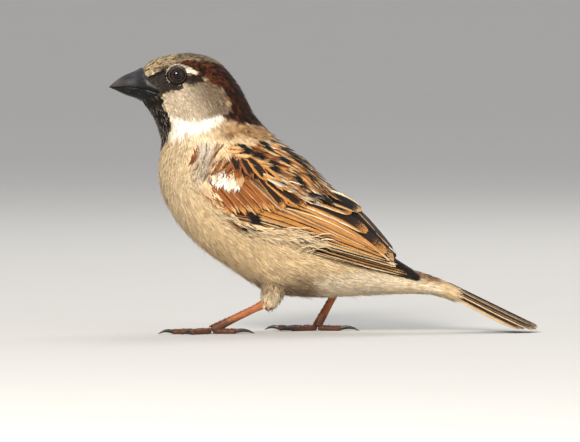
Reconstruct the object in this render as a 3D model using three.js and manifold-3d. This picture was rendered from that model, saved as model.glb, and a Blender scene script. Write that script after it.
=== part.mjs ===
// House sparrow, cock bird, standing alert: a life-size still model.
// Millimetres, +Z up. The bill points to -X and the bird's left side to -Y.
// The origin lies on the floor, midway between bill tip and tail tip.
import * as THREE from "three";
import { mergeVertices } from "three/addons/utils/BufferGeometryUtils.js";
import Module from "manifold-3d";

const wasm = await Module();
wasm.setup();

// Driving sizes.
const seam = 0.3; // gap between neighbouring pieces
const hairSeam = 0.15; // gap between the small pieces of bill and feet
const farOff = 40; // reach of the cutting prisms to each side
const overCrown = 95; // heights above and below all of the head, and a place in front of the bill
const underChin = 62;
const beforeBill = -80;

// The body's sections, from bill tip to tail root. Each spans from a point on the back or crown to one
// on the throat or belly, as [x, z], and is as wide on each side as `half`.
const sections = [
  { name: "bill tip", top: [-67.0, 76.8], bottom: [-66.7, 76.3], half: 0.3 },
  { name: "bill point", top: [-65.5, 77.9], bottom: [-65.2, 75.7], half: 0.9 },
  { name: "mid bill", top: [-62.4, 80.0], bottom: [-62.1, 74.2], half: 2.3 },
  { name: "bill base", top: [-57.7, 82.1], bottom: [-58.4, 72.9], half: 3.6 },
  { name: "forehead", top: [-54.2, 85.0], bottom: [-56.5, 71.5], half: 4.9 },
  { name: "eye", top: [-47.4, 87.0], bottom: [-54.5, 68.9], half: 6.2 },
  { name: "crown", top: [-40.2, 87.4], bottom: [-53.0, 66.4], half: 9.0 },
  { name: "hind crown", top: [-32.7, 84.8], bottom: [-51.8, 63.0], half: 10.3 },
  { name: "nape", top: [-26.2, 77.3], bottom: [-51.0, 59.5], half: 11.0 },
  { name: "neck", top: [-21.2, 68.1], bottom: [-51.4, 55.8], half: 12.6 },
  { name: "shoulder", top: [-15.0, 61.4], bottom: [-52.0, 51.1], half: 15.0 },
  { name: "fore breast", top: [-11.9, 58.9], bottom: [-50.5, 42.3], half: 16.8 },
  { name: "breast", top: [-9.0, 56.7], bottom: [-46.0, 34.1], half: 17.8 },
  { name: "keel", top: [-4.9, 53.3], bottom: [-38.7, 26.2], half: 18.0 },
  { name: "belly", top: [1.0, 47.3], bottom: [-28.7, 19.1], half: 17.0 },
  { name: "loin", top: [8.2, 39.2], bottom: [-17.4, 12.3], half: 15.0 },
  { name: "vent", top: [15.7, 30.8], bottom: [-3.7, 10.6], half: 11.8 },
  { name: "tail coverts", top: [24.5, 21.7], bottom: [11.3, 11.1], half: 8.0 },
  { name: "tail root", top: [35.7, 17.2], bottom: [32.6, 11.6], half: 5.2 },
];
const sideDrop = 0.1; // how far the widest line lies under mid height, as a share of half the height
const headEnds = 7.6; // section numbers at which the head and the neck end
const neckEnds = 9.6;
const cutShare = 0.02; // half the gap between head, neck and trunk, as a share of a section

// Where the feathers of the face meet the bill, from forehead to chin, as [x, z].
const billEdge = [
  [-57.1, 83.3],
  [-56.2, 80.8],
  [-54.9, 79.4],
  [-53.0, 77.7],
  [-51.6, 75.8],
  [-52.7, 73.9],
  [-55.2, 73.0],
  [-57.4, 72.0],
];
// The line between the two halves of the bill, from its tip to the corner of the mouth.
const mouthLine = [
  [-67.6, 76.75],
  [-62.1, 76.6],
  [-55.0, 76.5],
  [-53.0, 75.9],
  [-49.0, 74.2],
];
const lowerBillFront = -66.3; // the upper half hooks over the lower one's tip

const eye = { x: -45.5, y: 5.7, z: 80.5, radius: 3.3 };
const orbit = { y: 10.2, wide: 3.3, high: 3.0, deep: 2.3 }; // the dent round the eye

// The folded wing's outer face, from the bend of the wing to the longest tertial.
// Each station has its upper and lower edge as [x, y, z] on the right side, and a fullness between them.
const wingStations = [
  { upper: [-41.2, 14.2, 57.0], lower: [-42.1, 14.8, 52.3], full: 0.2 },
  { upper: [-37.7, 15.0, 59.1], lower: [-40.5, 17.0, 47.0], full: 0.7 },
  { upper: [-31.8, 16.0, 58.6], lower: [-36.2, 18.3, 43.3], full: 0.9 },
  { upper: [-25.2, 16.8, 55.2], lower: [-30.5, 18.8, 37.0], full: 1.0 },
  { upper: [-19.3, 16.8, 50.8], lower: [-23.0, 18.6, 33.3], full: 1.1 },
  { upper: [-12.1, 15.6, 46.1], lower: [-13.7, 17.8, 30.2], full: 1.1 },
  { upper: [-4.3, 12.8, 44.7], lower: [-4.9, 16.3, 27.2], full: 1.2 },
  { upper: [3.5, 6.0, 44.4], lower: [3.5, 15.2, 26.4], full: 1.6 },
  { upper: [11.6, 3.5, 38.6], lower: [11.3, 12.6, 25.2], full: 1.4 },
  { upper: [17.6, 3.0, 32.0], lower: [18.2, 9.6, 23.0], full: 0.9 },
  { upper: [22.6, 4.6, 25.4], lower: [22.9, 6.8, 22.9], full: 0.1 },
];
const wingThick = { bend: 1.9, tip: 0.9, edge: 0.5 };
const bladeEnds = { bend: 0.12, tip: 0.08 }; // shares of a blade's length over which its ends thin out
const covertsEnd = { upper: [-6.0, 52.0], lower: [-10.5, 22.0] }; // cut between coverts and secondaries

// The folded primaries, which show under and past the tertials.
const primaryStations = [
  { upper: [-2.0, 13.6, 30.5], lower: [-4.6, 14.4, 26.8], full: 0.0 },
  { upper: [6.0, 12.0, 29.5], lower: [3.5, 13.9, 25.0], full: 0.3 },
  { upper: [14.5, 9.0, 27.0], lower: [11.9, 11.0, 22.7], full: 0.3 },
  { upper: [20.1, 6.4, 24.5], lower: [18.8, 8.0, 20.5], full: 0.2 },
  { upper: [24.8, 5.2, 21.6], lower: [24.4, 6.2, 18.5], full: 0.1 },
  { upper: [28.2, 4.6, 19.4], lower: [28.5, 5.4, 17.5], full: 0.0 },
  { upper: [30.4, 4.9, 17.6], lower: [30.5, 5.1, 17.1], full: 0.0 },
];
const primaryThick = { bend: 1.1, tip: 0.6, edge: 0.5 };

// The closed tail is a low roof of twelve feathers: a ridge line and an edge line, as [x, z].
const tail = {
  ridge: { root: [36.3, 17.0], tip: [67.7, 1.7] },
  edge: { root: [33.6, 12.4], tip: [62.4, 0.4] },
  halfRoot: 5.2,
  halfTip: 8.4,
  roofPower: 1.6,
  notch: 0.04, // how much shorter the middle pair is, as a share of the length
  notchHalf: 0.4, // half the notch's width, as a share of the half width
  scallop: 0.02, // depth of the round feather tips, as a share of the length
  thickRoot: 2.2,
  thickTip: 0.9,
  thinAtEdge: 0.4, // how much thinner the outermost feathers are, as a share
  feathersPerSide: 6,
  clear: 0.6, // the underside's least height over the floor
};

// Legs and feet: points as [x, y, z] on the bird's own side, with y away from the middle.
const toeKinds = {
  hind: { yaw: 176, length: 7.6, claw: 6.2, girth: 0.85 },
  inner: { yaw: -30, length: 8.4, claw: 4.2, girth: 0.74 },
  middle: { yaw: 4, length: 12.4, claw: 4.8, girth: 0.8 },
  outer: { yaw: 37, length: 8.8, claw: 4.0, girth: 0.72 },
};
const legs = {
  left: {
    side: -1,
    thigh: [[-15.0, 6.8, 17.0], [-16.2, 8.0, 12.0], [-17.6, 8.8, 7.2]],
    thighHalf: [4.9, 3.7, 1.7],
    ankle: [-18.3, 8.8, 9.3],
    foot: [-34.9, 10.6, 1.25],
    turn: 6, // how far the foot turns outwards, in degrees
  },
  right: {
    side: 1,
    thigh: [[9.6, 6.0, 21.4], [8.4, 7.8, 19.0], [6.7, 9.4, 16.2]],
    thighHalf: [3.8, 3.2, 2.0],
    ankle: [7.3, 9.4, 18.3],
    foot: [-2.1, 10.2, 1.25],
    turn: 10,
  },
};
const tarsusFore = [1.5, 1.12, 1.1, 1.12, 1.3, 1.35]; // half its size fore and aft, from ankle to foot
const tarsusWide = [1.2, 0.82, 0.78, 0.82, 1.05, 1.3];

const colours = {
  horn: 0x23211f,
  crown: 0x8b7a62,
  chestnut: 0x7a3c1c,
  cream: 0xd8c6a4,
  wing: 0xb98249,
  dusk: 0x4a3c32,
  shank: 0xb87a5c,
  claw: 0x2e2723,
  eye: 0x140d09,
};

// ---- shape helpers ----

// A smooth value through equally spaced ones, at a position counted in values.
function along(values, position) {
  const last = values.length - 1;
  const i = Math.min(Math.floor(Math.max(position, 0)), last - 1);
  const f = position - i;
  const [a, b, c, d] = [i - 1, i, i + 1, i + 2].map((k) => values[Math.min(Math.max(k, 0), last)]);
  const blend = (p, q, r, s) =>
    0.5 * (2 * q + (r - p) * f + (2 * p - 5 * q + 4 * r - s) * f * f + (3 * q - p - 3 * r + s) * f * f * f);
  return typeof b === "number" ? blend(a, b, c, d) : b.map((_, k) => blend(a[k], b[k], c[k], d[k]));
}

const mix = (a, b, f) => a + (b - a) * f;
const vector = (p) => new THREE.Vector3(...p);

// A solid from points and triangles, with its faces turned outwards.
function solidOf(points, triangles) {
  const build = (tris) =>
    new wasm.Manifold(
      new wasm.Mesh({
        numProp: 3,
        vertProperties: new Float32Array(points.flatMap((p) => [p.x, p.y, p.z])),
        triVerts: new Uint32Array(tris.flat()),
      }),
    );
  const made = build(triangles);
  return made.volume() > 0 ? made : build(triangles.map(([a, b, c]) => [a, c, b]));
}

// A solid from a three.js geometry.
function solidFrom(geometry) {
  const bare = geometry.clone();
  bare.deleteAttribute("normal");
  bare.deleteAttribute("uv");
  const merged = mergeVertices(bare, 1e-4);
  return new wasm.Manifold(
    new wasm.Mesh({
      numProp: 3,
      vertProperties: new Float32Array(merged.attributes.position.array),
      triVerts: new Uint32Array(merged.index.array),
    }),
  );
}

// Rings of points joined into a closed tube, with a point in the middle of each end.
function tube(ringCount, sides, place) {
  const points = [];
  const triangles = [];
  for (let r = 0; r <= ringCount; r++)
    for (let s = 0; s < sides; s++) points.push(place(r / ringCount, (2 * Math.PI * s) / sides));
  const corner = (r, s) => r * sides + (s % sides);
  for (let r = 0; r < ringCount; r++)
    for (let s = 0; s < sides; s++) {
      triangles.push([corner(r, s), corner(r + 1, s), corner(r + 1, s + 1)]);
      triangles.push([corner(r, s), corner(r + 1, s + 1), corner(r, s + 1)]);
    }
  for (const r of [0, ringCount]) {
    const middle = new THREE.Vector3();
    for (let s = 0; s < sides; s++) middle.add(points[corner(r, s)]);
    points.push(middle.divideScalar(sides));
    const hub = points.length - 1;
    for (let s = 0; s < sides; s++)
      triangles.push(r ? [corner(r, s), hub, corner(r, s + 1)] : [corner(r, s + 1), hub, corner(r, s)]);
  }
  return solidOf(points, triangles);
}

// A thin plate between an outer and an inner face, each given over two shares.
function plate(lengths, widths, outer, inner) {
  const points = [];
  const triangles = [];
  for (const face of [outer, inner])
    for (let i = 0; i <= lengths; i++) for (let j = 0; j <= widths; j++) points.push(face(i / lengths, j / widths));
  const side = (lengths + 1) * (widths + 1);
  const at = (face, i, j) => face * side + i * (widths + 1) + j;
  for (let i = 0; i < lengths; i++)
    for (let j = 0; j < widths; j++)
      for (const face of [0, 1]) {
        const [a, b, c, d] = [at(face, i, j), at(face, i + 1, j), at(face, i + 1, j + 1), at(face, i, j + 1)];
        triangles.push(...(face ? [[a, c, b], [a, d, c]] : [[a, b, c], [a, c, d]]));
      }
  const rim = [];
  for (let i = 0; i < lengths; i++) rim.push([i, 0]);
  for (let j = 0; j < widths; j++) rim.push([lengths, j]);
  for (let i = lengths; i > 0; i--) rim.push([i, widths]);
  for (let j = widths; j > 0; j--) rim.push([0, j]);
  rim.forEach(([i, j], k) => {
    const [m, n] = rim[(k + 1) % rim.length];
    triangles.push([at(0, i, j), at(1, i, j), at(1, m, n)], [at(0, i, j), at(1, m, n), at(0, m, n)]);
  });
  return solidOf(points, triangles);
}

// A prism through the bird from side to side, over an outline of [x, z] points.
function prism(outline) {
  const shape = new THREE.Shape(outline.map(([x, z]) => new THREE.Vector2(x, z)));
  const geometry = new THREE.ExtrudeGeometry(shape, { depth: 2 * farOff, bevelEnabled: false });
  return solidFrom(geometry.rotateX(Math.PI / 2).translate(0, farOff, 0));
}

// The largest of the pieces that a cut leaves.
function largest(solid) {
  return solid.decompose().reduce((a, b) => (b.volume() > a.volume() ? b : a));
}

// ---- body ----

// A point on the body's outline at a section number and an angle from the back.
function bodyPoint(number, angle, grow = 0) {
  const [topX, topZ] = along(sections.map((s) => s.top), number);
  const [lowX, lowZ] = along(sections.map((s) => s.bottom), number);
  const half = along(sections.map((s) => s.half), number);
  const side = Math.sin(angle);
  const height = Math.cos(angle) - sideDrop * side * side;
  const reach = Math.hypot(topX - lowX, topZ - lowZ) / 2;
  const share = (height * (reach + grow)) / reach;
  return new THREE.Vector3(
    (topX + lowX) / 2 + ((topX - lowX) / 2) * share,
    (half + grow) * side,
    (topZ + lowZ) / 2 + ((topZ - lowZ) / 2) * share,
  );
}

const bodyPiece = (from, to, rings, sides) =>
  tube(rings, sides, (share, angle) => bodyPoint(mix(from, to, share), angle));

// ---- bill, eyes and head ----

const lift = (line, by) => line.map(([x, z]) => [x, z + by]);

const eyeball = (side, grow = 0) =>
  solidFrom(new THREE.SphereGeometry(eye.radius + grow, 14, 10).translate(eye.x, side * eye.y, eye.z));

const orbitDent = (side) =>
  solidFrom(
    new THREE.SphereGeometry(1, 14, 10)
      .scale(orbit.wide, orbit.deep, orbit.high)
      .translate(eye.x, side * orbit.y, eye.z),
  );

function billAndHead() {
  const whole = bodyPiece(0, headEnds - cutShare, 24, 22);
  const inFront = (by) =>
    prism([[beforeBill, overCrown], ...billEdge.map(([x, z]) => [x + by, z]), [beforeBill, underChin]]);
  const bill = whole.intersect(inFront(-hairSeam / 2));
  const backEnd = mouthLine[mouthLine.length - 1][0];
  const above = prism([...lift(mouthLine, hairSeam / 2), [backEnd, overCrown], [mouthLine[0][0], overCrown]]);
  const lowerLine = lift(mouthLine, -hairSeam / 2).map(([x, z]) => [Math.max(x, lowerBillFront), z]);
  const below = prism([...lowerLine, [backEnd, underChin], [lowerBillFront, underChin]]);
  let head = whole.subtract(inFront(hairSeam / 2));
  for (const side of [-1, 1]) head = head.subtract(eyeball(side, hairSeam)).subtract(orbitDent(side));
  return { upper: bill.intersect(above), lower: bill.intersect(below), head };
}

// ---- wings ----

// A blade over its stations. `grow` swells it on every side, for cutting its bed in a neighbour.
function blade(stations, thick, side, lengths, widths, grow = 0) {
  const last = stations.length - 1;
  const face = (inwards) => (share, across) => {
    const upper = vector(along(stations.map((s) => s.upper), share * last));
    const lower = vector(along(stations.map((s) => s.lower), share * last));
    const full = along(stations.map((s) => s.full), share * last);
    const bow = 4 * across * (1 - across);
    const rounded = Math.sqrt(Math.max(1 - (2 * across - 1) ** 4, 0));
    const taper = Math.min(1, share / bladeEnds.bend, (1 - share) / bladeEnds.tip);
    const body = mix(thick.bend, thick.tip, share) * rounded * Math.sqrt(taper);
    const depth = Math.max(thick.edge, body);
    const swell = grow / upper.distanceTo(lower);
    const point = upper.clone().lerp(lower, mix(-swell, 1 + swell, across));
    point.x += grow * (2 * share - 1);
    point.y += full * bow + grow - (inwards ? depth + 2 * grow : 0);
    point.y *= side;
    return point;
  };
  return plate(lengths, widths, face(false), face(true));
}

const wingBlade = (side, grow) => blade(wingStations, wingThick, side, 14, 5, grow);
const primaryBlade = (side, grow) => blade(primaryStations, primaryThick, side, 9, 3, grow);

// A thin cutting slab along the line where the greater coverts end.
function covertSlab() {
  const { upper, lower } = covertsEnd;
  return prism([
    [upper[0] - seam / 2, upper[1]],
    [upper[0] + seam / 2, upper[1]],
    [lower[0] + seam / 2, lower[1]],
    [lower[0] - seam / 2, lower[1]],
  ]);
}

function wingPieces(side) {
  const parted = wingBlade(side).subtract(covertSlab()).decompose();
  const [fore, rear] = parted
    .sort((a, b) => b.volume() - a.volume())
    .slice(0, 2)
    .sort((a, b) => a.boundingBox().min[0] - b.boundingBox().min[0]);
  const primaries = largest(primaryBlade(side).subtract(wingBlade(side, seam)));
  return { fore, rear, primaries };
}

// ---- tail ----

function tailSolid() {
  const { ridge, edge } = tail;
  const face = (under) => (share, across) => {
    const u = 2 * across - 1;
    const feather = (Math.abs(u) * tail.feathersPerSide) % 1;
    const tipRound = tail.scallop * (1 - Math.sqrt(1 - (2 * feather - 1) ** 2 * 0.96));
    const notch = tail.notch * Math.max(0, 1 - Math.abs(u) / tail.notchHalf) ** 2;
    const reach = share * (1 - (tipRound + notch) * share ** 3);
    const drop = Math.abs(u) ** tail.roofPower;
    const line = (end, k) => mix(end.root[k], end.tip[k], reach);
    const thick = mix(tail.thickRoot, tail.thickTip, Math.sqrt(share)) * (1 - tail.thinAtEdge * Math.abs(u));
    return new THREE.Vector3(
      mix(line(ridge, 0), line(edge, 0), drop) - (under ? thick * 0.3 : 0),
      mix(tail.halfRoot, tail.halfTip, share ** 0.8) * u,
      Math.max(mix(line(ridge, 1), line(edge, 1), drop), tail.clear + thick) - (under ? thick : 0),
    );
  };
  return plate(6, 24, face(false), face(true));
}

// ---- legs and feet ----

// A limb along a path of points. `wide` and `deep` are half sizes across and along its own plane.
function limb(path, wide, deep, rings, sides, reference, grow = 0) {
  const curve = new THREE.CatmullRomCurve3(path.map(vector));
  return tube(rings, sides, (share, step) => {
    const angle = step + Math.PI / sides; // an edge lies undermost, not a corner
    const round = Math.sqrt(Math.max(1 - Math.max(Math.abs(2 * share - 1) * 1.12 - 0.12, 0) ** 8, 0.09));
    const centre = curve.getPoint(share);
    const tangent = curve.getTangent(share);
    centre.addScaledVector(tangent, grow * (2 * share - 1));
    const across = reference.clone().addScaledVector(tangent, -reference.dot(tangent)).normalize();
    const other = tangent.clone().cross(across);
    const last = wide.length - 1;
    const w = along(wide, share * last) * round + grow;
    const d = along(deep, share * last) * round + grow;
    centre.addScaledVector(across, w * Math.cos(angle)).addScaledVector(other, d * Math.sin(angle));
    centre.z = Math.max(centre.z, 0); // what presses on the floor is flat
    return centre;
  });
}

const sideways = new THREE.Vector3(0, 1, 0);
const onSide = (side) => ([x, y, z]) => [x, side * y, z];

const thighOf = (leg, grow = 0) =>
  limb(leg.thigh.map(onSide(leg.side)), leg.thighHalf, leg.thighHalf, 6, 10, sideways, grow);

const tarsusOf = (leg, grow = 0) =>
  limb([leg.ankle, leg.foot].map(onSide(leg.side)), tarsusWide, tarsusFore, 8, 8, sideways, grow);

// The direction of a toe on the floor, from its yaw away from straight ahead.
function toeWay(leg, kind) {
  const yaw = THREE.MathUtils.degToRad(kind.yaw + leg.turn);
  return new THREE.Vector3(-Math.cos(yaw), leg.side * Math.sin(yaw), 0);
}

const toeLie = 0.86; // height of a toe's middle, as a share of its half girth

function toeOf(leg, kind, grow = 0) {
  const way = toeWay(leg, kind);
  const start = vector(onSide(leg.side)(leg.foot)).setZ(0);
  const spot = (distance, height) => {
    const p = start.clone().addScaledVector(way, distance);
    return [p.x, p.y, height];
  };
  const low = kind.girth * toeLie;
  const path = [spot(0.4, low + 0.25), spot(kind.length * 0.5, low), spot(kind.length, low)];
  const pads = [1.12, 1.0, 1.06, 0.98, 1.05, 0.96, 0.9].map((k) => k * kind.girth);
  return limb(path, pads, pads, 8, 8, new THREE.Vector3(-way.y, way.x, 0), grow);
}

function clawOf(leg, kind) {
  const way = toeWay(leg, kind);
  const start = vector(onSide(leg.side)(leg.foot)).setZ(0);
  const low = kind.girth * toeLie;
  const spot = (share, height) => {
    const p = start.clone().addScaledVector(way, kind.length + hairSeam + kind.claw * 0.93 * share);
    return [p.x, p.y, height];
  };
  const path = [spot(0, low), spot(0.35, low + 0.42), spot(0.7, low + 0.1), spot(1, 0.14)];
  const deep = [0.6, 0.52, 0.4, 0.14].map((k) => (k * kind.girth) / 0.8);
  const wide = [0.42, 0.36, 0.3, 0.12].map((k) => (k * kind.girth) / 0.8);
  return limb(path, wide, deep, 5, 6, new THREE.Vector3(-way.y, way.x, 0));
}

// ---- assembly ----

const sparrow = new THREE.Group();

function add(name, solid, colour, roughness = 0.8) {
  const { vertProperties, triVerts } = solid.getMesh();
  const geometry = new THREE.BufferGeometry();
  geometry.setAttribute("position", new THREE.BufferAttribute(vertProperties, 3));
  geometry.setIndex(new THREE.BufferAttribute(triVerts, 1));
  geometry.computeVertexNormals();
  const mesh = new THREE.Mesh(geometry, new THREE.MeshStandardMaterial({ color: colour, roughness }));
  mesh.name = name;
  sparrow.add(mesh);
}

const { upper, lower, head } = billAndHead();
add("bill_upper", largest(upper), colours.horn, 0.45);
add("bill_lower", largest(lower), colours.horn, 0.45);
add("head", largest(head), colours.crown);
add("neck", bodyPiece(headEnds + cutShare, neckEnds - cutShare, 5, 24), colours.cream);

const bodySides = [["left", -1], ["right", 1]];
let trunk = bodyPiece(neckEnds + cutShare, sections.length - 1, 20, 24);

for (const [sideName, side] of bodySides) {
  const leg = legs[sideName];
  const { fore, rear, primaries } = wingPieces(side);
  add(`${sideName}_eye`, eyeball(side), colours.eye, 0.1);
  add(`${sideName}_wing_coverts`, fore, colours.chestnut);
  add(`${sideName}_wing_secondaries`, rear, colours.wing);
  add(`${sideName}_wing_primaries`, primaries, colours.dusk);
  add(`${sideName}_thigh`, largest(thighOf(leg).subtract(tarsusOf(leg, hairSeam))), colours.cream);
  add(`${sideName}_tarsus`, tarsusOf(leg), colours.shank, 0.6);
  for (const bed of [wingBlade(side, seam), primaryBlade(side, seam), thighOf(leg, seam), tarsusOf(leg, seam)])
    trunk = trunk.subtract(bed);

  let taken = tarsusOf(leg, hairSeam);
  for (const toeName of ["middle", "inner", "outer", "hind"]) {
    const kind = toeKinds[toeName];
    add(`${sideName}_toe_${toeName}`, largest(toeOf(leg, kind).subtract(taken)), colours.shank, 0.6);
    add(`${sideName}_claw_${toeName}`, clawOf(leg, kind), colours.claw, 0.4);
    taken = taken.add(toeOf(leg, kind, hairSeam));
  }
}

add("trunk", largest(trunk), colours.cream);
add("tail", tailSolid(), colours.dusk);

export default sparrow;
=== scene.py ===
import math

import bpy
import numpy as np
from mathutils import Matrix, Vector


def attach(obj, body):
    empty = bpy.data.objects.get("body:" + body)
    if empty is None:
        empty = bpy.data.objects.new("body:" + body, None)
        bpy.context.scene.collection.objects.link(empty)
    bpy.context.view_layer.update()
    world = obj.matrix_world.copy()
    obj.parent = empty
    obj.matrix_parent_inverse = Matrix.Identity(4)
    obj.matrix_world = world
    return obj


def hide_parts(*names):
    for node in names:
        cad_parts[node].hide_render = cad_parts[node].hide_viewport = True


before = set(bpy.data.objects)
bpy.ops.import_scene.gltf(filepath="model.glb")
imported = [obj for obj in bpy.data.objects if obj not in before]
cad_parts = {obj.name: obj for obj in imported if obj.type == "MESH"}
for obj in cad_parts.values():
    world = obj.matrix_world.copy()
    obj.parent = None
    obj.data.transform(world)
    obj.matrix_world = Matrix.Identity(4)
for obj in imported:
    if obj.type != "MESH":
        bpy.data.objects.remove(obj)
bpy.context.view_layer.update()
mm = 0.001  # every size below is in millimetres


def placed(name, data):
    thing = bpy.data.objects.new(name, data)
    bpy.context.collection.objects.link(thing)
    return thing



print("camera")
# The bird faces -X and shows its left side, -Y, to the camera.
camera = dict(target=(-10.5, 0.0, 34.8), distance=2500.0, elevation=2.0, width=181.25, sensor=36.0)


def makeCamera():
    data = bpy.data.cameras.new("camera")
    data.sensor_width = camera["sensor"]
    data.lens = camera["sensor"] * camera["distance"] / camera["width"]
    data.clip_start, data.clip_end = 0.1, 20.0
    lens = placed("camera", data)
    tilt = math.radians(camera["elevation"])
    back = Vector((0.0, -math.cos(tilt), math.sin(tilt)))
    lens.location = (Vector(camera["target"]) + back * camera["distance"]) * mm
    lens.rotation_euler = (math.pi / 2 - tilt, 0.0, 0.0)
    bpy.context.scene.camera = lens
    bpy.context.scene.view_settings.view_transform = "Standard"  # colours stay as they are named


makeCamera()


def through(values, place):  # a smooth run through evenly spaced values, place going from 0 to 1
    v = np.asarray(values, float)
    if len(v) == 1:
        v = np.concatenate([v, v])
    last = len(v) - 1
    at = np.asarray(place, float) * last
    i = np.clip(np.floor(at).astype(int), 0, last - 1)
    f = (at - i).reshape(at.shape + (1,) * (v.ndim - 1))
    g = np.clip(f, 0, 1)  # past its ends it goes straight on
    p, q, r, s = (v[np.clip(i + k, 0, last)] for k in (-1, 0, 1, 2))
    first, second, third = r - p, 2 * p - 5 * q + 4 * r - s, 3 * q - p - 3 * r + s
    slope = first + 2 * second * g + 3 * third * g * g
    return 0.5 * (2 * q + first * g + second * g * g + third * g ** 3 + slope * (f - g))


def ease(low, high, value):
    f = np.clip((value - low) / (high - low), 0.0, 1.0)
    return f * f * (3 - 2 * f)


def unit(v):
    return v / np.maximum(np.linalg.norm(v, axis=-1, keepdims=True), 1e-12)


def blend(a, b, share):
    return a + (b - a) * share


def fullTurn(count):  # angles spread evenly round a circle
    return np.arange(count) * 2 * math.pi / count


def waves(points, size, seed):  # a cheap smooth noise from a few crossed waves, about -1 to 1
    dice = np.random.default_rng(seed)
    total = 0.0
    for _ in range(5):
        way = unit(dice.normal(size=3)) * 2 * math.pi / size * dice.uniform(0.6, 1.6)
        total = total + np.sin(points @ way + dice.uniform(0, 2 * math.pi))
    return total / 3.0


def insideOf(outline, x, z):  # distance inside an outline in the side view, below zero outside it
    a = np.asarray(outline, float)
    b = np.roll(a, -1, axis=0)
    p = np.stack([x, z], -1)[..., None, :]
    run = b - a
    f = np.clip(((p - a) * run).sum(-1) / (run * run).sum(-1), 0, 1)
    gap = np.linalg.norm(p - (a + run * f[..., None]), axis=-1).min(-1)
    over = (a[:, 1] > p[..., 1]) != (b[:, 1] > p[..., 1])
    with np.errstate(divide="ignore", invalid="ignore"):
        cross = a[:, 0] + (p[..., 1] - a[:, 1]) * run[:, 0] / run[:, 1]
    within = (over & (p[..., 0] < cross)).sum(-1) % 2 == 1
    return np.where(within, gap, -gap)


# The bird's form, as its solids have it.
body = dict(
    top=[
        (-67.0, 76.8), (-65.5, 77.9), (-62.4, 80.0), (-57.7, 82.1), (-54.2, 85.0), (-47.4, 87.0),
        (-40.2, 87.4), (-32.7, 84.8), (-26.2, 77.3), (-21.2, 68.1), (-15.0, 61.4), (-11.9, 58.9),
        (-9.0, 56.7), (-4.9, 53.3), (1.0, 47.3), (8.2, 39.2), (15.7, 30.8), (24.5, 21.7), (35.7, 17.2),
        (47.0, 11.8),
    ],
    bottom=[
        (-66.7, 76.3), (-65.2, 75.7), (-62.1, 74.2), (-58.4, 72.9), (-56.5, 71.5), (-54.5, 68.9),
        (-53.0, 66.4), (-51.8, 63.0), (-51.0, 59.5), (-51.4, 55.8), (-52.0, 51.1), (-50.5, 42.3),
        (-46.0, 34.1), (-38.7, 26.2), (-28.7, 19.1), (-17.4, 12.3), (-3.7, 10.6), (11.3, 11.1),
        (32.6, 11.6), (44.6, 7.6),
    ],
    half=[
        0.3, 0.9, 2.3, 3.6, 4.9, 6.2, 9.0, 10.3, 11.0, 12.6, 15.0, 16.8, 17.8, 18.0, 17.0, 15.0, 11.8,
        8.0, 5.2, 5.6,
    ],
    # how deep the feathers are over the skin
    coat=[
        0.0, 0.0, 0.0, 0.3, 0.5, 0.6, 0.8, 1.1, 1.4, 1.6, 1.8, 2.0, 2.0, 2.0, 2.0, 2.0, 1.8, 1.4, 0.8,
        0.6,
    ],
    sideDrop=0.1,
)
bodyEnd = 18  # the tail's root; one more section lies behind it, for feathers that reach on
bodyLast = len(body["half"]) - 1


def bodyPlace(number, angle):  # number counts the sections from the bill's tip, angle turns from the back
    share = np.asarray(number, float) / bodyLast
    top, low = through(body["top"], share), through(body["bottom"], share)
    half = through(body["half"], share)
    side = np.sin(angle)
    height = np.cos(angle) - body["sideDrop"] * side * side
    middle, reach = (top + low) / 2, (top - low) / 2
    x, z = (middle[..., k] + reach[..., k] * height for k in (0, 1))
    return np.stack([x, half * side, z], -1)


def lieOf(place, a, b):  # a point of a surface, its two directions and its normal
    step = 1e-3
    point = place(a, b)
    alongA = (place(a + step, b) - place(a - step, b)) / (2 * step)
    alongB = (place(a, b + step) - place(a, b - step)) / (2 * step)
    return point, alongA, alongB, unit(np.cross(alongA, alongB))


def stepOf(alongA, alongB, move):  # how far to go in a and b for a small move along the surface
    aa, ab, bb = ((p * q).sum(-1) for p, q in ((alongA, alongA), (alongA, alongB), (alongB, alongB)))
    am, bm = (alongA * move).sum(-1), (alongB * move).sum(-1)
    whole = np.maximum(aa * bb - ab * ab, 0.05 * aa * bb)  # no leap where both directions nearly agree
    return (am * bb - bm * ab) / whole, (bm * aa - am * ab) / whole


wing = dict(
    upper=[
        (-41.2, 14.2, 57.0), (-37.7, 15.0, 59.1), (-31.8, 16.0, 58.6), (-25.2, 16.8, 55.2),
        (-19.3, 16.8, 50.8), (-12.1, 15.6, 46.1), (-4.3, 12.8, 44.7), (3.5, 6.0, 44.4), (11.6, 3.5, 38.6),
        (17.6, 3.0, 32.0), (22.6, 4.6, 25.4),
    ],
    lower=[
        (-42.1, 14.8, 52.3), (-40.5, 17.0, 47.0), (-36.2, 18.3, 43.3), (-30.5, 18.8, 37.0),
        (-23.0, 18.6, 33.3), (-13.7, 17.8, 30.2), (-4.9, 16.3, 27.2), (3.5, 15.2, 26.4),
        (11.3, 12.6, 25.2), (18.2, 9.6, 23.0), (22.9, 6.8, 22.9),
    ],
    full=[0.2, 0.7, 0.9, 1.0, 1.1, 1.1, 1.2, 1.6, 1.4, 0.9, 0.1],
)
primary = dict(
    upper=[
        (-2.0, 13.6, 30.5), (6.0, 12.0, 29.5), (14.5, 9.0, 27.0), (20.1, 6.4, 24.5), (24.8, 5.2, 21.6),
        (28.2, 4.6, 19.4), (30.4, 4.9, 17.6),
    ],
    lower=[
        (-4.6, 14.4, 26.8), (3.5, 13.9, 25.0), (11.9, 11.0, 22.7), (18.8, 8.0, 20.5), (24.4, 6.2, 18.5),
        (28.5, 5.4, 17.5), (30.5, 5.1, 17.1),
    ],
    full=[0.0, 0.3, 0.3, 0.2, 0.1, 0.0, 0.0],
)


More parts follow.
